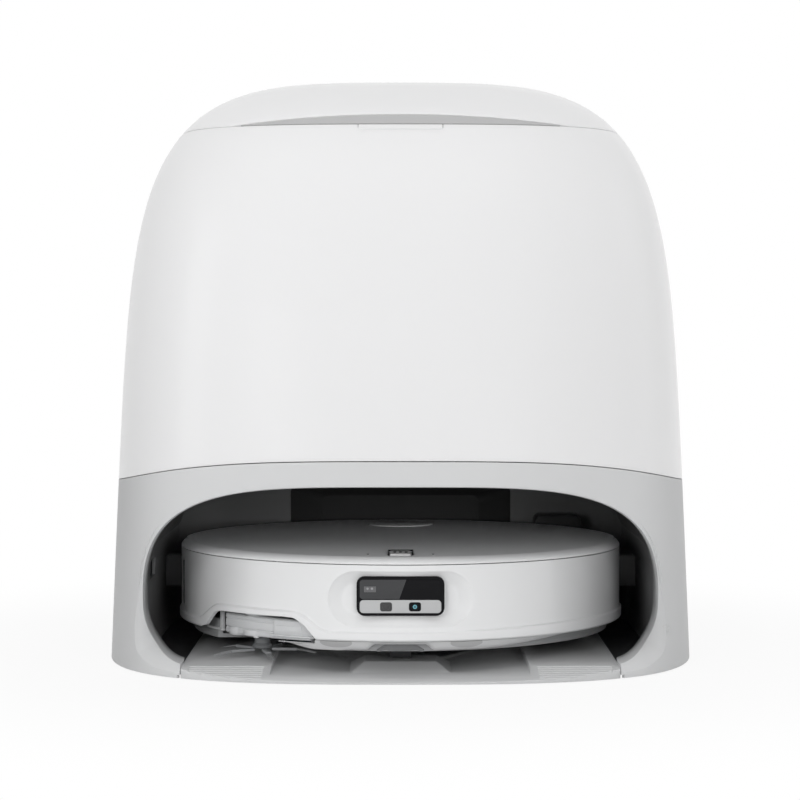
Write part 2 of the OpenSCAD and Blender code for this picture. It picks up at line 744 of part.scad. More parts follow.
duct_y = [bag_y[1] - 14, bag_y[1] + 26];
duct_w = 12;
duct_t = 2;
duct_x0 = -bay_half_w - liner_t - fit_gap - duct_w;
duct_top = deck_top + 70;
duct_end_x = bag_x[0] - fit_gap;
module dust_duct() {
    color("#53575b") difference() {
        union() {
            block([duct_x0, duct_x0 + duct_w], duct_y, [54, duct_top]);
            block([duct_x0, duct_end_x], duct_y, [duct_top - 32, duct_top]);
        }
        block([duct_x0 + duct_t, duct_x0 + duct_w - duct_t], widen(duct_y, -duct_t),
            [54 + duct_t, duct_top - duct_t]);
        block([duct_x0 + duct_t, duct_end_x + 1], widen(duct_y, -duct_t),
            [duct_top - 30, duct_top - duct_t]);
        block([duct_x0 + duct_w - duct_t - 1, duct_x0 + duct_w + 1], widen(duct_y, -3), [60, 84]);
    }
}
module duct_cut() {
    block([duct_x0 - fit_gap, duct_x0 + duct_w + fit_gap], widen(duct_y, fit_gap), [54, duct_top + 1]);
    block([duct_x0 - fit_gap, duct_end_x], widen(duct_y, fit_gap),
        [duct_top - 32 - fit_gap, duct_top + fit_gap]);
}

module suction_motor() {
    color("#3f4347") translate([88, bag_y[0] + 50, 0]) {
        disc(motor_r, deck_top + fit_gap, deck_top + fit_gap + motor_h);
        disc(motor_r + 4, deck_top + fit_gap, deck_top + fit_gap + 8);
        disc(motor_r - 14, deck_top + fit_gap + motor_h - 1, deck_top + fit_gap + motor_h + 12);
    }
}

pump_y = (bay_back_y + liner_t + station_d/2 - shell_t)/2;
pump_x = -station_w/2 + 50;
module water_pumps() {
    color("#4a4f55") for (z = [22, 56]) {
        translate([0, pump_y, z]) rod(13, pump_x, pump_x + 46);
        translate([0, pump_y, z]) rod(9, pump_x + 45, pump_x + 60);
        block([pump_x + 2, pump_x + 44], around(pump_y, 14), [z - 15, z - 11]);
    }
    color("#4a4f55") block([pump_x + 2, pump_x + 44], around(pump_y, 14), [liner_foot_z, 22 - 14]);
    color("#4a4f55") for (x = [pump_x + 6, pump_x + 32]) block([x, x + 6], around(pump_y, 4), [8, 45]);
}

module dryer_fan() {
    x = [104, 150];
    color("#3d4145") difference() {
        union() {
            block(x, [bay_back_y + liner_t + fit_gap, station_d/2 - shell_t - 6], [62, 108]);
            block([x[0] + 8, x[1] - 8], [bay_back_y + liner_t + fit_gap, bay_back_y + 40],
                [107, deck_z - fit_gap]);
        }
        translate([(x[0] + x[1])/2, station_d/2, 85]) rotate([90, 0, 0]) cylinder(r = 18, h = 44);
    }
}

module control_board() {
    y1 = tank_y0 - 12 - fit_gap;
    color("#2f6b4a") block([20, frame_x - 10], [y1 - 1.6, y1], [top_deck_h - 128, top_deck_h - 28]);
    color("#222222") for (i = [0:2]) block([34 + i*34, 54 + i*34], [y1 - 5, y1 - 1.5],
        [top_deck_h - 98, top_deck_h - 78]);
}

module power_inlet() {
    back = back_d((inlet_z[0] + inlet_z[1])/2, 0);
    color("#1f2123") difference() {
        facing_block(inlet_x, [back - 26, back - 0.2], inlet_z, inlet_r);
        facing_block(widen(inlet_x, -4), [back - 18, back + 1], widen(inlet_z, -5), 4);
    }
    color("#c9a64b") for (x = [-4.3, 4.3]) translate([(inlet_x[0] + inlet_x[1])/2 + x, back - 4, 30])
        rotate([90, 0, 0]) cylinder(r = 1.2, h = 15);
}

// ---- Robot: casing ----

module mop_centres() {
    for (s = [-1, 1]) translate([s*mop_x, mop_y, 0]) children();
}

well_x = [arm_x[0] - 1, wheel_x + wheel_w/2 + 3];
module chassis() {
    roof = [recess_roof_z, recess_roof_z + chassis_t];
    // Walls and posts start inside the floor, so that no two faces lie in one plane
    foot_z = chassis_z + 1;
    color("#8d9093") on_robot() difference() {
        union() {
            disc(chassis_r, chassis_z, chassis_z + chassis_t);
            intersection() {
                disc(chassis_r - 0.8, foot_z, roof[1]);
                mop_centres() disc(recess_r + 2.5, chassis_z, roof[1] + 1);
            }
            intersection() {
                tube(chassis_r - 3.4, chassis_r - 0.4, foot_z, roof[1] - 0.6);
                block([-200, 200], [-200, 60], [0, 50]);
            }
            block([-chamber_half_w - chamber_wall, chamber_half_w + chamber_wall],
                widen(chamber_y, chamber_wall), [foot_z, chamber_top + chamber_wall]);
            translate([0, -caster_y, 0]) disc(24, foot_z, side_shelf_z + 1);
            mop_centres() disc(16, roof[0] + 1, 46);
            for (s = [-1, 1]) sided(s)
                block([arm_x[0] - 5, arm_x[0] - 1], around(arm_pivot[0], 6), [foot_z, arm_pivot[1] + 6]);
            intersection() {
                disc(chassis_r - 4, side_shelf_z, side_shelf_z + 3);
                block([-150, -30], [-165, chamber_y[0] - 1], [0, 80]);
            }
            for (a = [35, 145, 215, 325]) rotate([0, 0, a]) translate([chassis_r - 14, 0, 0])
                disc(5, foot_z, robot_seam);
        }
        // Brush chamber, open below
        block([-chamber_half_w, chamber_half_w], chamber_y, [chassis_z - 1, chamber_top]);
        // Wheel wells
        for (s = [-1, 1]) sided(s) block(well_x, [-38, 38], [chassis_z - 1, 52]);
        // Caster well
        translate([0, -caster_y, 0]) disc(21, chassis_z - 1, 31);
        translate([0, -caster_y, 0]) disc(4 + run_gap, 30, 40);
        // Mop recesses and hub guides
        mop_centres() disc(11 + fit_gap, chassis_z, 50);
        mop_centres() disc(recess_r, chassis_z - 1, roof[0]);
        // Bay of the side brush arm
        side_bay();
        // Arm pivots
        for (s = [-1, 1]) sided(s) translate([0, arm_pivot[0], arm_pivot[1]])
            rod(arm_pin_r + run_gap, arm_x[0] - 6, arm_x[0]);
    }
    color("#8d9093") on_robot() translate([side_pivot.x, side_pivot.y, 0]) {
        disc(3, side_arm_z - 2, side_shelf_z + 1);
        disc(5, side_arm_z - 4, side_arm_z - fit_gap);
    }
}

module side_bay() {
    difference() {
        block([-158, -44], [-165, chamber_y[0] - chamber_wall - 1], [chassis_z - 1, side_shelf_z]);
        translate([0, -caster_y, 0]) disc(24.5, 0, 80);
    }
}

skirt_r = robot_r + 1.5;
module bumper() {
    plate_y = [-band_in_r + 3, -band_in_r + 5];
    profile = [[band_in_r, bumper_z + 1.5], [robot_r - 1, bumper_z], [skirt_r, bumper_z + 2],
        [skirt_r, bumper_z + 5.6], [robot_r, bumper_z + 8.4], [robot_r, robot_seam - fit_gap],
        [band_in_r, robot_seam - fit_gap]];
    color("#e9ebed") on_robot() difference() {
        union() {
            swept(profile, 182.2, 357.8);
            intersection() {
                disc(band_in_r + 1, camera_z - camera_recess_h/2 - 2, robot_seam - 1);
                block([-camera_recess_w/2 - 3, camera_recess_w/2 + 3], [-band_in_r - 1, plate_y[1]], [0, 80]);
            }
        }
        facing_block([-camera_recess_w/2, camera_recess_w/2], [-200, plate_y[0]],
            around(camera_z, camera_recess_h/2), camera_recess_h/2 - 0.1);
        facing_block([-bezel_w/2 - 0.1, bezel_w/2 + 0.1], [-200, -100],
            widen(bezel_z, 0.1), bezel_r + 0.1);
        translate([0, -60, 0]) rotate([90, 0, 0]) linear_extrude(140)
            polygon([[-147, 0], [-54, 0], [-60, 24], [-78, 37.5], [-139, 37.5], [-147, 30]]);
        wall_sensor_slot(0.1);
    }
}

bezel_z = [36.9, 36.9 + bezel_h];
bezel_r = 8;
module wall_sensor_slot(grow) {
    rotate([0, 0, 188.9]) facing_rod(grow);
}
module facing_rod(grow) {
    translate([band_in_r - 1, 0, 0]) rotate([0, 0, 90])
        facing_block([-3.5 - grow, 3.5 + grow], [-6, 1], [28.5 - grow, 66.5 + grow], 3);
}

module rear_band() {
    r = robot_r - 1.5;
    profile = [[r - band_t, 14], [r - 1, 14], [r, 15], [r, robot_seam - fit_gap],
        [r - band_t, robot_seam - fit_gap]];
    flange = [[chassis_r + fit_gap, 14.6], [r - band_t + 1, 14.6], [r - band_t + 1, 17],
        [chassis_r + fit_gap, 17]];
    color("#dfe1e3") on_robot() difference() {
        union() {
            swept(profile, 0.5, 179.5);
            // The flange is left out over the mops, which lift there
            for (a = [1, 85, 169]) swept(flange, a, a + 10);
        }
        for (s = [-1, 1]) sided(s) charge_plate_block(0.1);
        for (i = [0:5]) facing_block([-40, 40], [120, 200], [28 + i*6, 31 + i*6], 1.4);
    }
}

module charge_plate_block(grow) {
    intersection() {
        tube(robot_r - 3.3, robot_r - 1.5 + grow*3, 30, 60);
        block([robot_r - 45, robot_r], around(contact_y - robot_y, contact_w/2 + 2 + grow),
            widen(contact_z - [robot_z, robot_z], 3 + grow));
    }
}
module charge_plates() {
    color("#b9a46a") on_robot() for (s = [-1, 1]) sided(s) charge_plate_block(0);
}

module top_ring() {
    z = [deck_plate_z, deck_plate_z + deck_plate_t];
    shoulder = [[cover_rear_r + 0.4, z[0]], [robot_r - 0.5, z[0]], [robot_r - 0.5, z[0] + 0.8],
        [robot_r - 1.2, z[0] + 2.4], [cover_rear_r + 0.4, z[0] + 3.4]];
    front = [[cover_r + 0.4, z[0]], [robot_r - 0.5, z[0]], [robot_r - 0.5, z[0] + 0.8],
        [robot_r - 1.6, z[0] + 2.6], [robot_r - 4, z[0] + 4], [cover_r + 0.4, robot_h - 0.4]];
    color("#dde0e2") on_robot() difference() {
        union() {
            disc(cover_rear_r + 0.5, z[0], z[1]);
            swept(shoulder, 0, 180);
            swept(front, 180, 360);
            translate([0, lidar_y, 0]) tube(lidar_well_r, lidar_well_r + 2, 49, z[1]);
            translate([0, lidar_y, 0]) disc(lidar_well_r + 2, 47, 49.5);
        }
        translate([0, lidar_y, 0]) disc(lidar_well_r, 49.5, z[1] + 10);
        rounded_block([-82, 82], [-90, -6], [z[0] - 1, z[1] + 1], 10);
    }
}

module top_cover() {
    color("#e4e6e8") on_robot() difference() {
        union() {
            disc(cover_r, cover_z, robot_h);
            swept([[cover_r - 5, cover_z], [cover_rear_r, cover_z], [cover_rear_r, robot_h - 1.6],
                [cover_rear_r - 2.5, robot_h], [cover_r - 5, robot_h]], 2, 178);
        }
        translate([0, lidar_y, 0]) disc(lidar_r + 1, cover_z - 1, robot_h + 1);
        rounded_block([-key_half_w - 0.4, key_half_w + 0.4], widen(key_y, 0.4),
            [cover_z - 1, robot_h + 1], 3);
    }
}

module power_key() {
    color("#d4d7d9") on_robot()
        rounded_block([-key_half_w, key_half_w], key_y, [cover_z + 0.7, robot_h + 0.3], 2.6);
}

lidar_floor = [50, 52];
module lidar_cap() {
    color("#cfd2d4") on_robot() translate([0, lidar_y, 0]) {
        disc(lidar_r, robot_h - 3, robot_h + 0.6);
        difference() {
            tube(lidar_r - 2, lidar_r, lidar_floor[0], robot_h - 2);
            block([-40, 40], [-40, 40], [58, 72]);
        }
        for (a = [45:90:315]) rotate([0, 0, a]) translate([lidar_r - 2, 0, 0]) disc(1.6, 51, robot_h - 2);
        disc(lidar_r, lidar_floor[0], lidar_floor[1]);
    }
}

module lidar_turret() {
    color("#26282b") on_robot() translate([0, lidar_y, 0]) difference() {
        disc(lidar_r - 5, lidar_floor[1] + fit_gap, 75);
        for (y = [-8, 8]) translate([0, y, 65]) rod(4, lidar_r - 10, lidar_r);
    }
}

glass_z = [bezel_z[0] + 12.2, bezel_z[1] - 1.5];
module camera_frame() {
    y = [-robot_r + 1.5, -band_in_r + 6];
    color("#17181a") on_robot() difference() {
        facing_block([-bezel_w/2, bezel_w/2], y, bezel_z, bezel_r);
        facing_block([-bezel_w/2 + 1.5, bezel_w/2 - 1.5], [y[0] - 1, y[0] + 2.4], glass_z, 6);
        for (x = [-10.5, 10.5]) facing_block(around(x, 4.5), [y[0] - 1, y[0] + 2.4],
            around(lens_z, 3.5), 2);
    }
}
lens_z = 43.7;
module camera_glass() {
    y = -robot_r + 1.5;
    color("#2a2c30") on_robot()
        facing_block([-bezel_w/2 + 1.6, bezel_w/2 - 1.6], [y - 0.2, y + 2.3], widen(glass_z, -0.1), 5.9);
}
module sensor_lenses() {
    y = -robot_r + 1.5;
    color("#30444a") on_robot() {
        for (x = [-10.5, 10.5]) facing_block(around(x, 4.4), [y - 0.3, y + 2.3], around(lens_z, 3.4), 1.9);
        rotate([0, 0, 188.9]) facing_rod(0);
    }
}

// ---- Robot: running gear ----

module drive_wheel(side) {
    sided(side) translate([0, 0, wheel_r]) difference() {
        union() {
            translate([wheel_x - wheel_w/2, 0, 0]) rotate([0, 90, 0]) rotate_extrude()
                polygon([[20, 0], [wheel_r - 2, 0], [wheel_r, 2], [wheel_r, wheel_w - 2],
                    [wheel_r - 2, wheel_w], [20, wheel_w]]);
            rod(21, wheel_x - wheel_w/2 + 2, wheel_x + wheel_w/2 - 3);
            for (i = [0:19]) rotate([i*18, 0, 0]) block([wheel_x - wheel_w/2 + 2, wheel_x + wheel_w/2 - 2],
                [-1.6, 1.6], [wheel_r - 3, wheel_r - 0.4]);
        }
        rod(axle_r + run_gap, wheel_x - wheel_w, wheel_x + wheel_w/2 - 5);
    }
}
module drive_wheel_left() { color("#232425") on_robot() drive_wheel(-1); }
module drive_wheel_right() { color("#232425") on_robot() drive_wheel(1); }

module wheel_arm(side) {
    sided(side) {
        rounded_block(arm_x, [-24, 36], [recess_roof_z + chassis_t + 1, arm_pivot[1] + 8], 4);
        translate([0, 0, wheel_r]) rod(axle_r, arm_x[1] - 1, wheel_x + wheel_w/2 - 6);
        translate([0, 0, wheel_r]) rod(10, arm_x[1] - 1, arm_x[1] + 2 - fit_gap);
        translate([0, arm_pivot[0], arm_pivot[1]]) rod(arm_pin_r, arm_x[0] - 5, arm_x[0] + 1);
    }
}
module wheel_arm_left() { color("#9a9da0") on_robot() wheel_arm(-1); }
module wheel_arm_right() { color("#9a9da0") on_robot() wheel_arm(1); }

module caster_fork() {
    color("#77797c") on_robot() translate([0, -caster_y, 0]) {
        disc(17, 2*caster_r + 1.5, 2*caster_r + 4.5);
        disc(4, 2*caster_r + 4, 35.5);
        for (s = [-1, 1])
            block([min(8.5*s, 11*s), max(8.5*s, 11*s)], [-7, 7], [caster_r - 4, 2*caster_r + 2]);
        translate([0, 0, caster_r]) rod(2, -10, 10);
    }
}

module caster_wheel() {
    color("#3a3b3d") on_robot() translate([0, -caster_y, caster_r]) difference() {
        rod(caster_r, -8, 8);
        rod(2 + run_gap, -9, 9);
    }
}

module brush_arm() {
    span = side_hub - side_pivot;
    turn = atan2(span.y, span.x);
    color("#d9dde0") on_robot() translate([side_pivot.x, side_pivot.y, 0]) difference() {
        union() {
            disc(9, side_arm_z, side_arm_z + 6);
            rotate([0, 0, turn]) block([0, norm(span)], [-7.6, 7.6], [side_arm_z + 0.4, side_arm_z + 5.6]);
            translate([span.x, span.y, 0]) disc(13, side_arm_z, side_arm_z + 16);
        }
        disc(3 + run_gap, side_arm_z - 1, side_arm_z + 7);
        translate([span.x, span.y, 0]) disc(3 + run_gap, side_arm_z - 1, side_arm_z + 12);
    }
}

module side_brush() {
    color("#56595c") on_robot() translate([side_hub.x, side_hub.y, 0]) {
        disc(11, 5, side_arm_z - fit_gap);
        disc(3, side_arm_z - 1, side_arm_z + 10);
        for (i = [0:bristle_tufts - 1]) rotate([0, 0, i*360/bristle_tufts + 172]) union() {
            block([6, bristle_r - 14], [-2.2, 2.2], [3.2, 6]);
            block([bristle_r - 16, bristle_r], [-1.4, 1.4], [1.6, 4]);
        }
    }
}

module main_brush(side) {
    x = [3, 3 + roller_l];
    sided(side) translate([0, roller_y, roller_z]) {
        rod(14, x[0], x[1]);
        rod(4, x[1] - 1, chamber_half_w - fit_gap);
        for (i = [0:roller_fins - 1]) rotate([i*360/roller_fins, 0, 0])
            block(widen(x, -0.6), [-1.5, 1.5], [10, roller_r]);
    }
}
module main_brush_left() { color("#2f5f78") on_robot() main_brush(-1); }
module main_brush_right() { color("#2f5f78") on_robot() main_brush(1); }

plate_z = [mop_t + fit_gap, mop_t + 4];
module mop_hub(side) {
    translate([side*mop_x, mop_y, 0]) difference() {
        disc(11, plate_z[1] + fit_gap, 44);
        disc(4 + run_gap, plate_z[1] - 1, plate_z[1] + 14);
    }
}
module mop_hub_left() { color("#6d7073") on_robot() mop_hub(-1); }
module mop_hub_right() { color("#6d7073") on_robot() mop_hub(1); }

module mop_plate(side) {
    translate([side*mop_x, mop_y, 0]) {
        disc(mop_r - 3, plate_z[0], plate_z[1]);
        disc(4, plate_z[1] - 1, plate_z[1] + 13);
    }
}
module mop_plate_left() { color("#85898c") on_robot() mop_plate(-1); }
module mop_plate_right() { color("#85898c") on_robot() mop_plate(1); }

module mop_pad(side) {
    translate([side*mop_x, mop_y, 0]) disc(mop_r, 0, mop_t);
}
module mop_pad_left() { color("#c8c5c0") on_robot() mop_pad(-1); }
module mop_pad_right() { color("#c8c5c0") on_robot() mop_pad(1); }

// ---- Robot: inside ----

module dustbin() {
    z = [bin_z, robot_seam + 1.5];
    color("#4c5054") on_robot() difference() {
        rounded_block([-80, 80], [-88, -8], z, 8);
        rounded_block([-78, 78], [-86, -10], [z[0] + 2, z[1] - 2], 6);
    }
}

module battery() {
    color("#3b4f6a") on_robot() rounded_block([-60, 60], [chamber_y[1] + chamber_wall + fit_gap, 12],
        [chassis_z + chassis_t + fit_gap, 44], 6);
}

module main_board() {
    color("#2f6b4a") on_robot() block([-70, 70], [-4, 26], [44 + fit_gap, 46]);
    color("#222222") on_robot() for (x = [-50, -20, 20]) block([x, x + 18], [0, 18], [46 - 0.1, 48.5]);
}

module robot_fan() {
    roof = recess_roof_z + chassis_t + fit_gap;
    color("#3f4347") on_robot() translate([0, 54, 0]) {
        disc(24, roof, roof + 30);
        disc(14, roof + 29, roof + 36);
    }
}

base_shell();
housing();
front_cover();
lid();
top_deck();
status_tab();
hinge_pins();
inner_frame();
bay_liner();
rear_pocket();
refill_nozzle();
wash_tray();
washboard();
base_plate();
rubber_feet();
contact_left();
contact_right();
clean_tank();
clean_tank_handle();
dirty_tank();
dirty_tank_handle();
dust_bag();
suction_motor();
dust_duct();
water_pumps();
dryer_fan();
control_board();
power_inlet();
chassis();
bumper();
rear_band();
top_ring();
top_cover();
lidar_cap();
lidar_turret();
power_key();
camera_glass();
camera_frame();
sensor_lenses();
drive_wheel_left();
drive_wheel_right();
wheel_arm_left();
wheel_arm_right();
caster_fork();
caster_wheel();
brush_arm();
side_brush();
main_brush_left();
main_brush_right();
mop_hub_left();
mop_hub_right();
mop_plate_left();
mop_plate_right();
mop_pad_left();
mop_pad_right();
dustbin();
battery();
main_board();
robot_fan();
charge_plates();
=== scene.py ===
"""A round robot vacuum parked in its docking station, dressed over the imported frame."""
import contextlib
import functools
import json
import math

import bmesh
import bpy
import numpy as np
from bpy.props import FloatProperty, FloatVectorProperty, IntProperty, PointerProperty
from mathutils import Matrix, Vector

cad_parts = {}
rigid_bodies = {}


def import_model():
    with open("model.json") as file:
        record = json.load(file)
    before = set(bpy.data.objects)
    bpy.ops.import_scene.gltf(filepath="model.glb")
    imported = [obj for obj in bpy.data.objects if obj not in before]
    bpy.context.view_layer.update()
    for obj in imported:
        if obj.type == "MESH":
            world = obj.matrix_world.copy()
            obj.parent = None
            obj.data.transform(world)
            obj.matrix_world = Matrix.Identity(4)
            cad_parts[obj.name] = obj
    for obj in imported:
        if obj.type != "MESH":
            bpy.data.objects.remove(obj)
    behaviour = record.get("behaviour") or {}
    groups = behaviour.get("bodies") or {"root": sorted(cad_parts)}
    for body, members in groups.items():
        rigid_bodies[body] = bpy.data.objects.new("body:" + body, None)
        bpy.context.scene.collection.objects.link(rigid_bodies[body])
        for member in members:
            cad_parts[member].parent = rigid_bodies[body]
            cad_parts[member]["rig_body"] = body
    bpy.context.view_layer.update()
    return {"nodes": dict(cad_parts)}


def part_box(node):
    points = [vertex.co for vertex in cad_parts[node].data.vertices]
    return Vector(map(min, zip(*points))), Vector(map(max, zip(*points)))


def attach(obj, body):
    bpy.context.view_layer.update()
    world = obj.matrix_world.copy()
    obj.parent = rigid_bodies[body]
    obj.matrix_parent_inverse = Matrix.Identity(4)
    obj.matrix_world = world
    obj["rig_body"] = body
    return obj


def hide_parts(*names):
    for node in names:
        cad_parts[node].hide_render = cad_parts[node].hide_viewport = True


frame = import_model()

bl_info = {
    "name": "Robot vacuum and docking station",
    "version": (1, 0, 0),
    "blender": (4, 5, 0),
    "location": "View3D > Sidebar > Dock",
    "description": "Shells, casing, brushes, cloths and finishes of a docked robot vacuum",
    "category": "Add Mesh",
}


# ---- Sizes and colours that a user may change ----

def length(name, description, default):
    return FloatProperty(name=name, description=description, default=default, min=0.0,
                         unit='LENGTH', subtype='DISTANCE')


def colour(name, description, default):
    return FloatVectorProperty(name=name, description=description, default=default, size=3,
                               min=0.0, max=1.0, subtype='COLOR')


class StationSizes(bpy.types.PropertyGroup):
    width: length("Width", "Width of the station at the floor", 0.456)
    depth: length("Depth", "Depth of the station at the floor", 0.444)
    height: length("Height", "Height of the station", 0.450)
    wall: length("Wall", "Thickness of the outer shells", 0.003)
    gap: length("Gap", "Gap between neighbouring shells", 0.0006)
    seam: length("Base seam", "Height of the seam over the base, at the middle", 0.160)
    seam_drop: length("Seam drop", "How far that seam drops towards the sides", 0.022)
    lid_seam: length("Lid seam", "Height of the seam under the lid", 0.408)
    recess_width: length("Recess width", "Width of the finger recess in the lid", 0.256)
    recess_height: length("Recess height", "Height of the finger recess", 0.008)
    mouth_width: length("Mouth width", "Width of the arched mouth", 0.382)
    mouth_height: length("Mouth height", "Height of the arched mouth", 0.142)
    mouth_shoulder: length("Mouth shoulder", "Height at which the mouth is widest", 0.052)
    tray_width: length("Tray width", "Width of the wash tray with its side gaps", 0.3212)
    tab_width: length("Tab width", "Width of the status tab", 0.063)
    flare: FloatProperty(name="Flare", description="Slope of the flared rim beside the mouth",
                         default=1.05, min=0.0, max=1.5)


class RobotSizes(bpy.types.PropertyGroup):
    radius: length("Radius", "Radius of the bumper", 0.175)
    wall: length("Wall", "Thickness of the bumper", 0.0035)
    skirt: length("Skirt", "How far the skirt stands out under its crease", 0.0015)
    bumper_low: length("Bumper foot", "Height of the bumper's lower edge", 0.0182)
    bumper_high: length("Bumper top", "Height of the bumper's upper edge", 0.0737)
    crease: length("Crease", "Height of the crease over the skirt", 0.0251)
    recess_width: length("Recess width", "Width of the camera recess", 0.106)
    recess_height: length("Recess height", "Height of the camera recess", 0.041)
    recess_level: length("Recess level", "Height of the camera recess's centre", 0.049)
    bristles: IntProperty(name="Bristles", description="Bristles in each tuft of the side brush",
                          default=16, min=4, max=40)


class FinishColours(bpy.types.PropertyGroup):
    cover: colour("Cover white", "Gloss white of the cover, the lid and the housing", (0.83, 0.83, 0.835))
    base: colour("Base grey", "Satin grey of the base", (0.66, 0.665, 0.67))
    tray: colour("Tray grey", "Grey of the wash tray", (0.60, 0.605, 0.61))
    bay: colour("Bay charcoal", "Charcoal of the robot bay", (0.25, 0.252, 0.256))
    casing: colour("Casing white", "White of the robot's bumper and top", (0.86, 0.865, 0.87))
    chassis: colour("Chassis grey", "Grey of the robot's underside", (0.30, 0.305, 0.31))
    ink: colour("Window black", "Black of the camera window", (0.006, 0.006, 0.007))
    silver: colour("Sensor silver", "Silver paint of the sensor strip", (0.52, 0.525, 0.53))
    lens: colour("Lens teal", "Coating of the right lens", (0.07, 0.22, 0.26))
    cloth: colour("Mop cloth", "Pile of the mop cloths", (0.50, 0.49, 0.47))
    bag: colour("Dust bag", "Fleece of the dust bag", (0.66, 0.62, 0.54))


def sizes():
    return bpy.context.scene.station_sizes


def casing():
    return bpy.context.scene.robot_sizes


def colours():
    return bpy.context.scene.finish_colours


ring_low, ring_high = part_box("top_ring")
ROBOT = Vector((0.0, (ring_low.y + ring_high.y) / 2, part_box("mop_pad_left")[0].z))


# ---- Shared shape maths ----

FROM_FRONT, FROM_SIDE, FROM_ABOVE = [0, 2], [1, 2], [0, 1]
WHOLE_TURN = 2 * np.pi


def clamp(t):
    return np.clip(t, 0, 1)


def ease(t):
    t = clamp(t)
    return t * t * (3 - 2 * t)


def signed_power(value, power):
    return np.sign(value) * np.abs(value) ** power


def grid(x, y, z):
    """Points of a sheet; each coordinate is a number, a row, a column or a full table"""
    return np.stack(np.broadcast_arrays(x, y, z), -1)


def round_grid(radius, turn, level, centre=(0, 0)):
    return grid(centre[0] + radius * np.cos(turn), centre[1] + radius * np.sin(turn), level)


# ---- Outline of the station, the same as the solids' ----

TAPER = 0.0195
SIDE_CURVE, FRONT_CURVE, BACK_CURVE = (6.6, 3.9), (2.5, 3.2), (9, 4)
FRONT_ROUND, BACK_ROUND = 3, 5.5
FRONT_END = -0.06


def swell(z, over, plan):
    """Share of the full reach that is left at a height, as the skin closes over the top"""
    return np.maximum(0, 1 - np.maximum(0, z / sizes().height) ** over) ** (1 / plan)


def half_width(z):
    s = sizes()
    return (s.width / 2 - TAPER * z / s.height) * swell(z, *SIDE_CURVE)


def front_depth(z):
    return sizes().depth / 2 * swell(z, *FRONT_CURVE)


def back_depth(z):
    return sizes().depth / 2 * swell(z, *BACK_CURVE)


def outline(angle, z):
    """Point of the outer skin at a plan angle and a height"""
    c, s = np.cos(angle), np.sin(angle)
    power = np.where(s < 0, 2 / FRONT_ROUND, 2 / BACK_ROUND)
    depth = np.where(s < 0, front_depth(z), back_depth(z))
    return grid(half_width(z) * signed_power(c, power), depth * signed_power(s, power), z)


def even_angles(start, end, steps):
    """Plan angles whose points lie at even distances round the shell"""
    fine = np.linspace(start, end, 6001)
    walk = np.linalg.norm(np.diff(outline(fine, 0.15), axis=0), axis=1)
    along = np.concatenate([[0], np.cumsum(walk)])
    return np.interp(np.linspace(0, along[-1], steps + 1), along, fine)


def skin_points(angles, low, high, rows):
    """Rows of points on the outer skin between two heights"""
    return outline(angles[None], low + (high - low) * np.linspace(0, 1, rows)[:, None])


def beside(x, z, power):
    """Share of the depth that is left beside the middle"""
    return np.maximum(0, 1 - np.abs(x / half_width(z)) ** power) ** (1 / power)


def front_skin(x, z):
    return -front_depth(z) * beside(x, z, FRONT_ROUND)


def back_skin(x, z):
    return back_depth(z) * beside(x, z, BACK_ROUND)


def base_seam(angle):
    s = sizes()
    x = outline(angle, s.seam - s.seam_drop / 2)[..., 0]
    return s.seam - s.seam_drop * np.abs(x / half_width(s.seam)) ** 3.5


def lid_seam(angle):
    s = sizes()
    across = 2 * outline(angle, s.lid_seam)[..., 0] / s.recess_width
    scoop = np.where((np.sin(angle) < 0) & (np.abs(across) < 1), 1 - across ** 2, 0)
    return s.lid_seam + s.gap / 2 + s.recess_height * scoop


def smooth_line(points, steps):
    """Closed curve through the given points, as a dense list"""
    p = np.asarray(points, float)
    out = []
    for a, b, c, d in zip(np.roll(p, 1, 0), p, np.roll(p, -1, 0), np.roll(p, -2, 0)):
        for t in np.arange(steps) / steps:
            out.append(0.5 * (2 * b + (c - a) * t + (2 * a - 5 * b + 4 * c - d) * t ** 2
                              + (3 * b - a - 3 * c + d) * t ** 3))
    return np.array(out)


def rounded_line(points, radius, steps=7):
    """Closed polygon with each corner rounded"""
    p = np.asarray(points, float)
    out = []
    for a, b, c in zip(np.roll(p, 1, 0), p, np.roll(p, -1, 0)):
        before, after = np.linalg.norm(a - b), np.linalg.norm(c - b)
        u, v = (a - b) / before, (c - b) / after
        half = math.acos(max(-1, min(1, float(u @ v)))) / 2
        reach = min(radius / math.tan(half), 0.49 * before, 0.49 * after)
        for t in np.linspace(0, 1, steps):
            out.append((1 - t) ** 2 * (b + u * reach) + 2 * t * (1 - t) * b + t ** 2 * (b + v * reach))
    return np.array(out)


def opening(across, up, radius=0.0):
    """Closed line round a rectangle that is given as two ranges"""
    corners = np.array([(across[0], up[0]), (across[1], up[0]), (across[1], up[1]), (across[0], up[1])])
    return rounded_line(corners, radius) if radius else corners


def around(middle, half):
    return middle - half, middle + half


def stadium(z, width, height):
    """Closed line round a slot with half-round ends"""
    r = height / 2
    turn = np.linspace(-np.pi / 2, np.pi / 2, 33)
    right = np.stack([width / 2 - r + r * np.cos(turn), z + r * np.sin(turn)], -1)
    return np.concatenate([right, [0, 2 * z] - right])


def mouth_line():
    """Outline of the mouth seen from the front: an arch over two rounded feet"""
    s = sizes()
    w, shoulder, curl, drop = s.mouth_width / 2, s.mouth_shoulder, 0.034, 0.0415
    t = np.linspace(0, np.pi, 241)
    arch = np.stack([w * signed_power(np.cos(t), 0.5),
                     shoulder + (s.mouth_height - shoulder) * np.sin(t) ** (2 / 2.7)], -1)
    inner = w - curl
    t = np.linspace(math.acos((s.tray_width / 2 - inner) / curl), 0, 33)
    foot = np.stack([inner + curl * np.cos(t), shoulder - drop * np.sin(t)], -1)
    end, mirror = np.array([[s.tray_width / 2, -0.02]]), [-1, 1]
    return np.concatenate([end, foot[:-1], arch, (foot[::-1] * mirror)[1:], end * mirror])


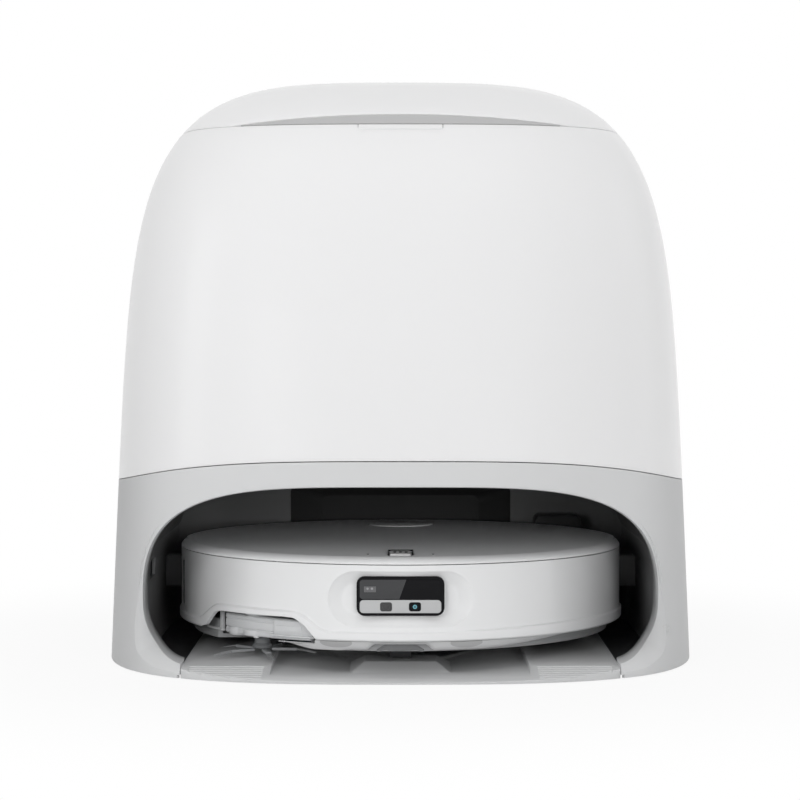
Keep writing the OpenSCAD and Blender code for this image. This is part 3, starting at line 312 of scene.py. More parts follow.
def flare_line():
    """Outer edge of the flared rim: it leaves the mouth at the shoulder and sweeps round the foot"""
    w = sizes().mouth_width / 2
    right = [(w + out, z) for out, z in (
        (-0.047, 0.112), (-0.030, 0.108), (-0.0185, 0.101), (-0.0100, 0.094), (-0.0045, 0.087),
        (0.0003, 0.069), (0.0030, 0.058), (0.0054, 0.046), (0.0066, 0.030), (0.0056, 0.0196),
        (0.0016, 0.0130), (-0.0085, 0.0075), (-0.0150, 0.0062), (-0.0260, 0.0052), (-0.0400, 0.0050))]
    left = [(-x, z) for x, z in reversed(right)]
    return smooth_line(right + [(w - 0.06, 0.005), (0.06 - w, 0.005)] + left, 6)


# ---- Making and shaping meshes ----

WELD, SEAM_WELD = 2e-6, 1e-5


def start_clean():
    if bpy.context.object and bpy.context.object.mode != 'OBJECT':
        bpy.ops.object.mode_set(mode='OBJECT')
    bpy.ops.object.select_all(action='DESELECT')


def current(piece):
    start_clean()
    piece.select_set(True)
    bpy.context.view_layer.objects.active = piece
    return piece


@contextlib.contextmanager
def editing(piece, action='SELECT'):
    """Edit mode, with the whole mesh selected or none of it"""
    current(piece)
    bpy.ops.object.mode_set(mode='EDIT')
    bpy.ops.mesh.select_all(action=action)
    yield
    bpy.ops.object.mode_set(mode='OBJECT')


def named(name):
    piece = bpy.context.object
    piece.name = name
    piece.data.name = name
    return piece


def settle(piece):
    """Put the object at the origin, with its place in its mesh"""
    current(piece)
    bpy.ops.object.transform_apply(location=True, rotation=True, scale=True)
    return piece


def join(name, *parts):
    current(parts[0])
    for part in parts:
        part.select_set(True)
    if len(parts) > 1:
        bpy.ops.object.join()
    return settle(named(name))


def modify(piece, kind, **settings):
    current(piece)
    modifier = piece.modifiers.new(kind.title(), kind)
    for key, value in settings.items():
        setattr(modifier, key, value)
    bpy.ops.object.modifier_apply(modifier=modifier.name)
    return piece


def thicken(piece, wall):
    """Give a sheet its wall, on the inner side"""
    return modify(piece, 'SOLIDIFY', thickness=wall, offset=-1)


def round_edges(piece, width, angle, segments=2):
    return modify(piece, 'BEVEL', width=width, segments=segments, limit_method='ANGLE',
                  angle_limit=math.radians(angle), use_clamp_overlap=True, harden_normals=False)


def smooth(piece, angle):
    current(piece)
    bpy.ops.object.shade_smooth_by_angle(angle=math.radians(angle))
    return piece


def close_seams(piece):
    """Merge the seams and poles of a closed shape and turn its faces outwards"""
    with editing(piece):
        bpy.ops.mesh.remove_doubles(threshold=SEAM_WELD)
        bpy.ops.mesh.normals_make_consistent(inside=False)
    return piece


def face_away(piece, inside, counts=lambda face: True):
    """Flip the faces if most of those that count look towards a point inside"""
    lean = sum((face.center - Vector(inside)).dot(face.normal) * face.area
               for face in piece.data.polygons if counts(face))
    if lean < 0:
        piece.data.flip_normals()


def formed_sheet(name, points, inside=None):
    """A grid whose points are set row by row on a surface, facing away from a point inside"""
    rows, columns = points.shape[:2]
    start_clean()
    bpy.ops.mesh.primitive_grid_add(x_subdivisions=columns - 1, y_subdivisions=rows - 1, size=1)
    piece = named(name)
    piece.data.vertices.foreach_set("co", points.reshape(-1))
    piece.data.update()
    with editing(piece):
        bpy.ops.mesh.remove_doubles(threshold=WELD)
    if inside is not None:
        face_away(piece, inside)
    return piece


def measure(points, line):
    """Signed distance of flat points from a closed line, negative inside, and the nearest places on it"""
    best = np.full(len(points), np.inf)
    near = np.zeros_like(points)
    inside = np.zeros(len(points), bool)
    for start, end in zip(line, np.roll(line, -1, 0)):
        step = end - start
        long = step @ step
        if long < 1e-16:
            continue
        t = clamp(((points - start) @ step) / long)
        foot = start + t[:, None] * step
        far = np.linalg.norm(points - foot, axis=1)
        nearer = far < best
        best[nearer] = far[nearer]
        near[nearer] = foot[nearer]
        crosses = (start[1] > points[:, 1]) != (end[1] > points[:, 1])
        if step[1] != 0:
            inside ^= crosses & (points[:, 0] < start[0] + (points[:, 1] - start[1]) * step[0] / step[1])
    return np.where(inside, -best, best), near


INSIDE, OUTSIDE, ON_LINE = -1, 1, 2


def score(piece, line, axes, lay_back, where, remove=False):
    """Fit a sheet's edges to a closed line drawn along one axis, and take away what lies inside it"""
    mesh = bmesh.new()
    mesh.from_mesh(piece.data)
    mesh.verts.ensure_lookup_table()
    co = np.array([v.co for v in mesh.verts])
    flat = co[:, axes]
    low, high = line.min(0) - 0.01, line.max(0) + 0.01
    chosen = where(co) & (flat > low).all(1) & (flat < high).all(1)
    index = np.nonzero(chosen)[0]
    distance, near = measure(flat[index], line)
    state = np.full(len(co), OUTSIDE)
    for i, d, place in zip(index, distance, near):
        vert = mesh.verts[i]
        if vert.is_boundary:
            state[i] = ON_LINE if abs(d) < 0.0004 else int(math.copysign(1, d))
            continue
        reach = max(math.dist(flat[i], co[e.other_vert(vert).index][axes]) for e in vert.link_edges)
        if abs(d) < 0.51 * reach:
            spot = list(vert.co)
            spot[axes[0]], spot[axes[1]] = place
            vert.co = lay_back(spot)
            state[i] = ON_LINE
        else:
            state[i] = INSIDE if d < 0 else OUTSIDE
    kinds = lambda face: [state[v.index] for v in face.verts]
    for face in list(mesh.faces):
        if INSIDE in kinds(face) and OUTSIDE in kinds(face):
            on = [v for v in face.verts if state[v.index] == ON_LINE]
            if len(on) == 2 and not mesh.edges.get(on):
                bmesh.utils.face_split(face, on[0], on[1])
    if remove:
        middle_inside = lambda face: measure(np.array(face.calc_center_median())[None, axes], line)[0][0] < 0
        doomed = [face for face in mesh.faces if INSIDE in kinds(face)
                  or (OUTSIDE not in kinds(face) and middle_inside(face))]
        bmesh.ops.delete(mesh, geom=doomed, context='FACES')
    mesh.to_mesh(piece.data)
    mesh.free()
    return piece


def laid_on(skin):
    """A way to put a moved spot back on the front or the back skin"""
    return lambda spot: Vector((spot[0], skin(spot[0], spot[2]), spot[2]))


on_front, on_back = laid_on(front_skin), laid_on(back_skin)


def on_casing(spot):
    return Vector((spot[0], -math.sqrt(max(0, casing().radius ** 2 - spot[0] ** 2)), spot[2]))


def slab(name, x, y, z, radius=0.0, axis='Z', edge=0.0004, segments=6):
    """A box with the four edges along one axis rounded, and its rims broken"""
    start_clean()
    centre = ((x[0] + x[1]) / 2, (y[0] + y[1]) / 2, (z[0] + z[1]) / 2)
    bpy.ops.mesh.primitive_cube_add(size=1, location=centre)
    piece = named(name)
    piece.scale = (x[1] - x[0], y[1] - y[0], z[1] - z[0])
    way = 'XYZ'.index(axis)
    with editing(settle(piece), 'DESELECT'):
        bpy.ops.mesh.select_mode(type='EDGE')
        mesh = bmesh.from_edit_mesh(piece.data)
        for e in mesh.edges:
            along = e.verts[0].co - e.verts[1].co
            e.select = abs(along[way]) > 0.99 * along.length
        bmesh.update_edit_mesh(piece.data)
        if radius:
            bpy.ops.mesh.bevel(offset=radius, segments=segments, profile=0.5, affect='EDGES')
    if edge:
        round_edges(piece, edge, 50)
    return smooth(piece, 40)


def peg(name, radius, start, end, x=0.0, y=0.0, sides=48, edge=0.0004, axis='Z'):
    """A round peg with broken rims; start and end are places along its axis"""
    start_clean()
    mid = (start + end) / 2
    place, turn = {'Z': ((x, y, mid), (0, 0, 0)), 'Y': ((x, mid, y), (math.pi / 2, 0, 0)),
                   'X': ((mid, x, y), (0, math.pi / 2, 0))}[axis]
    bpy.ops.mesh.primitive_cylinder_add(vertices=sides, radius=radius, depth=abs(end - start),
                                        location=place, rotation=turn)
    return smooth(round_edges(settle(named(name)), edge, 50), 40)


def spun_ring(name, profile, start, end, steps, centre=(0, 0)):
    """A closed profile of radius and height turned about a vertical axis, from start to end degrees;
    a function gives the profile at each angle"""
    degrees = np.linspace(start, end, steps + 1)
    shape = profile if callable(profile) else lambda angle: profile
    loops = np.array([list(shape(a)) + [shape(a)[0]] for a in degrees], float).transpose(1, 0, 2)
    piece = formed_sheet(name, round_grid(loops[..., 0], np.radians(degrees), loops[..., 1], centre))
    if abs(end - start) < 360:
        with editing(piece, 'DESELECT'):
            bpy.ops.mesh.select_mode(type='EDGE')
            bpy.ops.mesh.select_non_manifold()
            bpy.ops.mesh.edge_face_add()
    return close_seams(piece)


def softened(node, finish=None):
    """A copy of a solid with its faces merged and its edges broken, so that they catch the light"""
    piece = bpy.data.objects.new(node + "_dressed", frame["nodes"][node].data.copy())
    bpy.context.scene.collection.objects.link(piece)
    with editing(piece):
        bpy.ops.mesh.remove_doubles(threshold=WELD)
        bpy.ops.mesh.dissolve_limited(angle_limit=math.radians(1.0))
    return finish_piece(smooth(round_edges(piece, 0.0004, 32), 32), node, finish=finish)


def body_of(node):
    return frame["nodes"][node]["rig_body"]


def finish_piece(piece, *nodes, body=None, finish=None):
    """Let a piece ride where its nodes ride, stand for them and take its material"""
    start_clean()
    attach(piece, body or body_of(nodes[0]))
    if nodes:
        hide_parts(*nodes)
    if finish:
        piece.data.materials.clear()
        piece.data.materials.append(finish)
    return piece


# ---- Materials ----

class Wire:
    """A number on its way between nodes; sums and products of wires add Math nodes"""

    def __init__(self, nodes, socket):
        self.nodes, self.socket = nodes, socket

    def _with(self, operation, other, swapped=False):
        first, second = (other, self) if swapped else (self, other)
        return self.nodes.node('ShaderNodeMath', {'operation': operation}, {0: first, 1: second})

    def __add__(self, other): return self._with('ADD', other)
    def __radd__(self, other): return self._with('ADD', other, True)
    def __sub__(self, other): return self._with('SUBTRACT', other)
    def __rsub__(self, other): return self._with('SUBTRACT', other, True)
    def __mul__(self, other): return self._with('MULTIPLY', other)
    def __rmul__(self, other): return self._with('MULTIPLY', other, True)
    def __truediv__(self, other): return self._with('DIVIDE', other)
    def __rtruediv__(self, other): return self._with('DIVIDE', other, True)
    def __pow__(self, other): return self._with('POWER', other)
    def __lt__(self, other): return self._with('LESS_THAN', other)


class Nodes:
    """The node tree of a material or world, with one method that adds any node"""

    def __init__(self, owner):
        owner.use_nodes = True
        self.tree = owner.node_tree
        self.tree.nodes.clear()

    def node(self, kind, settings=None, inputs=None, output=0):
        made = self.tree.nodes.new(kind)
        for key, value in (settings or {}).items():
            if key == 'stops':
                elements = made.color_ramp.elements
                while len(elements) < len(value):
                    elements.new(0.5)
                for element, (position, tone) in zip(elements, value):
                    element.position, element.color = position, (*tone, 1)
            else:
                setattr(made, key, value)
        for key, value in (inputs or {}).items():
            socket = made.inputs[key]
            if isinstance(value, Wire):
                self.tree.links.new(value.socket, socket)
            else:
                socket.default_value = (*value, 1) if socket.type == 'RGBA' else value
        return Wire(self, made.outputs[output]) if len(made.outputs) else None

    def watched(self):
        """1 or more for a ray from the camera, off gloss or through a clear piece"""
        return sum(self.node('ShaderNodeLightPath', output=kind)
                   for kind in ('Is Camera Ray', 'Is Glossy Ray', 'Is Transmission Ray'))


class Finish(Nodes):
    """A material built from nodes, with Object coordinates as its place"""

    def __init__(self, name):
        self.material = bpy.data.materials.new(name)
        super().__init__(self.material)
        self.place = self.node('ShaderNodeTexCoord', output='Object')

    def surface(self, **values):
        return self.node('ShaderNodeBsdfPrincipled', None,
                         {key.replace('_', ' '): value for key, value in values.items()})

    def show(self, surface):
        self.node('ShaderNodeOutputMaterial', None, {0: surface})
        return self.material

    def noise(self, scale, detail=2.0, rough=0.5, stretch=None):
        where = self.place
        if stretch:
            where = self.node('ShaderNodeMapping', None, {'Vector': where, 'Scale': stretch})
        return self.node('ShaderNodeTexNoise', None,
                         {'Vector': where, 'Scale': scale, 'Detail': detail, 'Roughness': rough})

    def flow(self):
        """Faint flow marks, drawn out upwards"""
        return self.noise(14.0, 3.0, 0.55, (1, 1, 0.35))

    def axis(self, which):
        return self.node('ShaderNodeSeparateXYZ', None, {0: self.place}, which)

    def mix(self, factor, first, second):
        return self.node('ShaderNodeMix', {'data_type': 'RGBA'}, {0: factor, 6: first, 7: second}, 2)

    def blend(self, value, *steps):
        """Smooth step of a value: from, to, and the two results"""
        return self.node('ShaderNodeMapRange', {'interpolation_type': 'SMOOTHSTEP'},
                         dict(enumerate((value,) + steps)))

    def bump(self, height, strength, distance, **under):
        return self.node('ShaderNodeBump', None,
                         {'Height': height, 'Strength': strength, 'Distance': distance, **under})


def shaded(tone, factor):
    return tuple(min(1.0, c * factor) for c in tone)


FINISHES = {}


def finish(build):
    """Make each named finish only once; the decorated function builds its surface"""
    @functools.wraps(build)
    def made(name, *values, **settings):
        if name not in FINISHES:
            f = Finish(name)
            FINISHES[name] = f.show(build(f, *values, **settings))
        return FINISHES[name]
    return made


@finish
def moulded(f, tone, roughness, grain, relief, mottle, coat=0.0, specular=0.5):
    """Moulded plastic: spark-eroded grain, faint flow marks and handling haze"""
    polish = {'Coat_Weight': coat, 'Coat_Roughness': 0.05} if coat else {}
    return f.surface(Base_Color=f.mix(f.flow(), shaded(tone, 1 - mottle), shaded(tone, 1 + mottle)),
                     Roughness=roughness * (0.86 + f.noise(60.0, 4.0) * 0.28), Specular_IOR_Level=specular,
                     Normal=f.bump(f.noise(grain, 3.0, 0.6), relief, 0.0004), **polish)


@finish
def gloss_white(f, tone):
    """Polished white casing: clear coat over white, with the faint ripple of a large moulding"""
    haze = f.noise(38.0, 5.0, 0.6)
    return f.surface(Base_Color=f.mix(f.noise(3.0), shaded(tone, 0.992), shaded(tone, 1.005)),
                     Roughness=0.30 + haze * 0.04, Coat_Weight=0.20 + haze * 0.06, Coat_Roughness=0.10,
                     Specular_IOR_Level=0.35, Normal=f.bump(f.noise(2200.0), 0.03, 0.0002))


@finish
def clear_plastic(f, tone, clearness, roughness):
    """Milky translucent plastic with flow lines"""
    flow = f.noise(30.0, 3.0, 0.5, (0.3, 1, 1))
    return f.surface(Base_Color=f.mix(flow, shaded(tone, 0.92), shaded(tone, 1.05)),
                     Roughness=roughness + flow * 0.12, Transmission_Weight=clearness, IOR=1.46,
                     Normal=f.bump(f.noise(300.0), 0.06, 0.0004))


@finish
def metal(f, tone, roughness, grain=(1, 1, 40)):
    """Turned or drawn metal with fine drawing lines"""
    lines = f.noise(200.0, 3.0, 0.6, grain)
    return f.surface(Base_Color=f.mix(lines, shaded(tone, 0.9), shaded(tone, 1.05)), Metallic=1.0,
                     Roughness=roughness * (0.8 + lines * 0.5), Normal=f.bump(lines, 0.08, 0.0002))


@finish
def rubber(f, tone):
    """Matt rubber with dust in its grain"""
    dust = f.noise(55.0, 5.0, 0.65)
    return f.surface(Base_Color=f.mix(dust, tone, shaded(tone, 1.9)), Roughness=0.62 + dust * 0.25,
                     Normal=f.bump(f.noise(1400.0, 3.0, 0.6), 0.25, 0.0004))


@finish
def circuit_green(f):
    """Circuit board: solder mask over copper tracks"""
    tracks = f.node('ShaderNodeTexBrick', {'offset': 0.37}, {
        'Vector': f.place, 'Scale': 160.0, 'Mortar Size': 0.03, 'Color1': (0.01, 0.09, 0.035),
        'Color2': (0.012, 0.105, 0.04), 'Mortar': (0.03, 0.2, 0.07)})
    return f.surface(Base_Color=tracks, Roughness=0.3 + f.noise(300.0) * 0.2,
                     Normal=f.bump(f.noise(240.0), 0.1, 0.0003))


@finish
def pile_cloth(f, tone):
    """Short looped pile: each loop a small cell, lighter at its top, with painted shade darkening the roots
    between the loops
    """
    cells = f.node('ShaderNodeTexVoronoi', None, {'Vector': f.place, 'Scale': 620.0, 'Randomness': 0.85})
    # Painted shade: each cell is lighter in its middle and darker towards the roots between loops
    loops = f.mix(cells, shaded(tone, 1.12), shaded(tone, 0.55))
    roots = f.bump(1 - cells, 0.9, 0.0014)
    return f.surface(Base_Color=f.mix(f.noise(22.0, 4.0, 0.6) * 0.35, loops, shaded(tone, 0.8)),
                     Roughness=0.92, Sheen_Weight=0.35, Sheen_Roughness=0.5,
                     Normal=f.bump(f.noise(1500.0, 4.0, 0.7), 0.5, 0.0006, Normal=roots))


@finish
def fleece(f, tone):
    """Pressed filter fleece with its crossing fibres"""
    along, across = (f.noise(420.0, 4.0, 0.7, stretch) for stretch in ((1, 6, 1), (6, 1, 1)))
    return f.surface(Base_Color=f.mix(along * 0.5 + across * 0.5, shaded(tone, 0.8), shaded(tone, 1.12)),
                     Roughness=0.9, Sheen_Weight=0.2, Normal=f.bump(along + across, 0.6, 0.0006))


@finish
def dark_glass(f, tone):
    """Smoked camera window with a painted reflection: its left part, left of a slanted line, is painted a
    lighter grey than its right part
    """
    # Painted reflection: a soft light's reflection, painted as lighter grey on the window's left part
    painted_reflection_edge = f.axis('X') + (f.axis('Z') - ROBOT.z - 0.0566) * -0.36
    return f.surface(Base_Color=f.mix(painted_reflection_edge < 0.0018, shaded(tone, 1.3), (0.07, 0.071, 0.074)),
                     Roughness=0.16 + f.noise(90.0, 3.0) * 0.05, Specular_IOR_Level=0.10,
                     Normal=f.bump(f.noise(60.0), 0.01, 0.0003))


@finish
def lens_coating(f, tone):
    """Coated lens: rings of tone around a dark pupil"""
    x, z = f.axis('X') - LENS_X, f.axis('Z') - ROBOT.z - LENS_Z
    rings = f.node('ShaderNodeValToRGB', {'stops': (
        (0.0, (0.01, 0.05, 0.07)), (0.32, shaded(tone, 0.6)), (0.5, shaded(tone, 2.2)),
        (0.72, shaded(tone, 1.1)), (1.0, (0.01, 0.02, 0.02)))}, {0: (x * x + z * z) ** 0.5 / 0.0021})
    return f.surface(Base_Color=rings, Roughness=0.08 + f.noise(200.0) * 0.04, Coat_Weight=0.7,
                     Coat_Roughness=0.03)


@finish
def satin_base(f, tone):
    """Satin grey with painted shade: it darkens a little round the sides, more up the flared rim and much
    more down the throat
    """
    # The 'depth' attribute brings painted shade to the flared rim and the throat
    depth = f.node('ShaderNodeAttribute', {'attribute_name': 'depth'}, output='Fac')
    # Painted shade: the grey darkens towards the sides of the base
    side = f.blend((f.axis('X') * f.axis('X')) ** 0.5, 0.165, 0.235, 0.0, 0.62)
    plain = f.mix(f.flow(), shaded(tone, 0.99), shaded(tone, 1.01))
    return f.surface(Base_Color=f.mix(depth, f.mix(side, plain, shaded(tone, 0.6)), shaded(tone, 0.12)),
                     Roughness=0.44 + f.noise(60.0, 4.0) * 0.08, Specular_IOR_Level=0.25,
                     Normal=f.bump(f.noise(1500.0, 3.0, 0.6), 0.10, 0.0004))


def cover_white():
    return gloss_white("Gloss cover white", colours().cover)


def ink_black():
    return moulded("Window ink", colours().ink, 0.3, 1400.0, 0.02, 0.2, 0.0, 0.10)


# ---- Stage ----

MIRRORED = "left strip"


class DOCK_OT_stage(bpy.types.Operator):
    """Pale floor, soft studio light and the camera"""
    bl_idname = "dock.stage"
    bl_label = "Stage"

    def execute(self, context):
        context.scene.view_settings.view_transform = 'Standard'
        self.floor()
        self.world(context.scene)
        self.panels(context.scene)
        self.camera(context.scene)
        return {'FINISHED'}

    def floor(self):
        start_clean()
        bpy.ops.mesh.primitive_plane_add(size=14, location=(0, 2.0, 0))
        floor = settle(named("floor"))
        f = Finish("Studio floor")
        paint = f.surface(Base_Color=f.mix(f.noise(2.0), (0.80, 0.80, 0.80), (0.81, 0.81, 0.81)),
                          Roughness=0.75, Specular_IOR_Level=0.1)
        bright_white = f.node('ShaderNodeEmission', None, {'Color': (1, 1, 1), 'Strength': 1.0})
        away = f.node('ShaderNodeVectorMath', {'operation': 'LENGTH'}, {0: f.place}, 'Value')
        fade = f.blend(away, 0.26, 0.60, 0.90, 1.0)
        floor.data.materials.append(f.show(f.node('ShaderNodeMixShader', None, {
            0: f.watched() * fade, 1: paint, 2: bright_white})))

    def world(self, scene):
        scene.world = bpy.data.worlds.new("Studio")
        sky = Nodes(scene.world)
        lit, seen = (sky.node('ShaderNodeBackground', None, {0: (1, 1, 1), 1: strength})
                     for strength in (0.34, 1.0))
        blend = sky.node('ShaderNodeMixShader', None, {0: sky.watched(), 1: lit, 2: seen})
        sky.node('ShaderNodeOutputWorld', None, {0: blend})

    def panels(self, scene):
        """Light panels: name, place, height of the spot they aim at, size and power"""
        for name, place, aim, size, power in (
                (MIRRORED, (-2.3, -1.0, 0.7), 0.25, (0.8, 2.4), 7),
                ("key panel", (-1.3, -2.7, 1.0), 0.16, (1.0, 0.9), 14),
                ("low right panel", (0.85, -2.9, 0.4), 0.10, (0.7, 0.6), 15),
                ("low left panel", (-0.95, -2.9, 0.4), 0.10, (0.5, 0.6), 6),
                ("right rim panel", (2.2, 0.5, 0.8), 0.25, (0.7, 1.8), 12),
                ("back panel", (0.4, 2.8, 1.2), 0.25, (2.0, 1.2), 16),
                ("top panel", (-0.1, -0.7, 2.2), 0.3, (1.8, 1.4), 13)):
            lamp = bpy.data.lights.new(name, 'AREA')
            lamp.shape = 'RECTANGLE'
            lamp.size, lamp.size_y = size
            lamp.energy = power
            box = bpy.data.objects.new(name, lamp)
            box.location = place
            box.visible_glossy = name == MIRRORED
            box.rotation_euler = (Vector((0, 0, aim)) - Vector(place)).to_track_quat('-Z', 'Y').to_euler()
            scene.collection.objects.link(box)

    def camera(self, scene):
        lens = bpy.data.cameras.new("camera")
        lens.sensor_width = 36
        lens.lens = 101.07
        lens.shift_x = -0.5 / 800
        camera = bpy.data.objects.new("camera", lens)
        camera.location = (0, -1.818, 0.249)
        camera.rotation_euler = (math.radians(90 - 1.607), 0, 0)
        scene.collection.objects.link(camera)
        scene.camera = camera


# ---- Station ----

BACK_START = 0.1
HINGE_X, HINGE_Y, HINGE_Z, HINGE_RADIUS = 0.070, 0.19954, 0.402, 0.0045
TONGUE_HALF, SLOT_HALF = 0.0039, 0.0042


def at_front(co):
    return co[:, 1] < FRONT_END


def at_back(co):
    return co[:, 1] > BACK_START


def cover_part(name, start, end, steps, rows):
    """Skin of the front cover or the housing, from the seam of the base to the seam of the lid"""
    s = sizes()
    angles = even_angles(start, end, steps)
    points = skin_points(angles, base_seam(angles) + s.gap / 2, s.lid_seam - s.gap / 2, rows)
    side = 1 if start == 0 else -1
    points[..., 1] = side * np.maximum(side * points[..., 1], s.gap / 2)
    return formed_sheet(name, points, (0, 0, 0.25))


class DOCK_OT_base(bpy.types.Operator):
    """Base shell with its arched mouth, flared rim and throat"""
    bl_idname = "dock.base"
    bl_label = "Base shell"

    def execute(self, context):
        s = sizes()
        skin_low, shell_low, flare_half = 0.001, 0.0008, 0.2005
        angles = even_angles(0, WHOLE_TURN, 420)
        points = skin_points(angles, skin_low, base_seam(angles) - s.gap / 2, 62)
        piece = formed_sheet("base_shell_skin", points, (0, 0, 0.08))
        score(piece, mouth_line(), FROM_FRONT, on_front, at_front, remove=True)
        score(piece, flare_line(), FROM_FRONT, on_front, at_front)
        inlet = opening((0.1157, 0.1483), (0.0177, 0.0423), 0.005)
        score(piece, inlet, FROM_FRONT, on_back, at_back, remove=True)
        co = np.array([v.co for v in piece.data.vertices])
        near = np.nonzero(at_front(co))[0]
        distance = measure(co[near][:, FROM_FRONT], flare_line())[0]
        for i, d in zip(near, distance):
            if d < 0:
                piece.data.vertices[int(i)].co.y += s.flare * min(-d, 0.022)
        self.throat(piece)
        round_edges(thicken(piece, s.wall), 0.0006, 26)
        # The 'depth' attribute is painted shade: up the flared rim it grows towards the top, and down the
        # throat it is full
        depth = piece.data.attributes.new("depth", 'FLOAT', 'POINT')
        for vert in piece.data.vertices:
            x, y, z = vert.co
            vert.co.z = max(z, shell_low)
            if y < FRONT_END and abs(x) < flare_half:
                behind = y - front_skin(x, max(z, skin_low))
                rim = clamp((behind - 0.0045) / 0.014) * (0.15 + 0.55 * clamp((z - 0.012) / 0.055))
                depth.data[vert.index].value = max(rim, clamp((behind - 0.024) / 0.022))
        finish_piece(smooth(piece, 24), "base_shell", finish=satin_base("Satin base grey", colours().base))
        return {'FINISHED'}

    def throat(self, piece):
        """Turn the mouth's edge inwards to meet the bay"""
        mesh = bmesh.new()
        mesh.from_mesh(piece.data)
        line = mouth_line()
        on_mouth = lambda co: (co.y < FRONT_END and co.z > 0.0015
                               and abs(measure(np.array([[co.x, co.z]]), line)[0][0]) < 3e-5)
        edges = [e for e in mesh.edges if e.is_boundary and all(on_mouth(v.co) for v in e.verts)]
        start = {v: v.co.copy() for e in edges for v in e.verts}
        origin = {v: v for v in start}
        for depth, grow in ((0.0012, -0.0002), (0.005, -0.0008), (0.012, -0.0010), (0.022, -0.0006),
                            (0.034, 0.0002)):
            made = bmesh.ops.extrude_edge_only(mesh, edges=edges)['geom']
            links = {v: next(origin[e.other_vert(v)] for e in v.link_edges if e.other_vert(v) in origin)
                     for v in made if isinstance(v, bmesh.types.BMVert)}
            for v, first in links.items():
                at = start[first]
                out = Vector((at.x / 0.189, 0, max(0.0, at.z - 0.05) / 0.092))
                v.co = at + Vector((0, depth, 0)) + out * grow
            origin.update(links)
            edges = [e for e in made if isinstance(e, bmesh.types.BMEdge)]
        bmesh.ops.recalc_face_normals(mesh, faces=mesh.faces)
        mesh.to_mesh(piece.data)
        mesh.free()
        face_away(piece, (0, 0, 0.08), lambda face: face.center.y > 0)


class DOCK_OT_front_cover(bpy.types.Operator):
    """Domed front cover and the status tab in its upper edge"""
    bl_idname = "dock.front_cover"
    bl_label = "Front cover"

    def execute(self, context):
        s = sizes()
        cover = cover_part("front_cover_skin", np.pi, WHOLE_TURN, 220, 96)
        notch = opening(around(0, s.tab_width / 2 + 0.0003), (s.lid_seam - 0.0043, s.lid_seam + 0.01), 0.0012)
        score(cover, notch, FROM_FRONT, on_front, lambda co: co[:, 1] < -0.05, remove=True)
        round_edges(thicken(cover, s.wall), 0.0005, 45)
        finish_piece(smooth(cover, 35), "front_cover", finish=cover_white())

        x = np.linspace(-s.tab_width / 2, s.tab_width / 2, 61)[None]
        z = np.linspace(s.lid_seam - 0.004, s.lid_seam - s.gap / 2, 7)[:, None]
        tab = formed_sheet("status_tab_skin", grid(x, front_skin(x, z) - 0.0007, z), (0, 0, 0.4))
        round_edges(thicken(tab, s.wall), 0.0006, 50, 3)
        finish_piece(smooth(tab, 40), "status_tab",
                     finish=moulded("Tab grey", shaded(colours().cover, 0.98), 0.35, 1600.0, 0.04, 0.01, 0.2))
        return {'FINISHED'}


class DOCK_OT_housing(bpy.types.Operator):
    """Rear housing with its hinge knuckles and vents"""
    bl_idname = "dock.housing"
    bl_label = "Housing"

    def execute(self, context):
        shell = cover_part("housing_skin", 0, np.pi, 240, 90)
        for middle in (-HINGE_X, HINGE_X):
            slot = opening(around(middle, SLOT_HALF), (0.3969, 0.42))
            score(shell, slot, FROM_FRONT, on_back, at_back, remove=True)
        thicken(shell, sizes().wall)
        cutter = join("vent_cut", *(slab("vent_cut", (-0.060, 0.060), (0.198, 0.226), (z, z + 0.004), 0.0019,
                                         'Y', 0) for z in np.arange(8) * 0.009 + 0.200))
        modify(shell, 'BOOLEAN', object=cutter, operation='DIFFERENCE', solver='EXACT')
        bpy.data.objects.remove(cutter)
        parts = [smooth(round_edges(shell, 0.0005, 45), 35)]
        for middle in (-HINGE_X, HINGE_X):
            for x0, x1 in ((-0.012, -SLOT_HALF), (SLOT_HALF, 0.012)):
                parts.append(peg("knuckle", HINGE_RADIUS, middle + x0, middle + x1, HINGE_Y, HINGE_Z, 40,
                                 axis='X'))
                parts.append(slab("web", (middle + x0, middle + x1), (HINGE_Y - 0.007, HINGE_Y),
                                  (HINGE_Z - HINGE_RADIUS, HINGE_Z)))
        finish_piece(join("housing_skin", *parts), "housing", finish=cover_white())
        return {'FINISHED'}


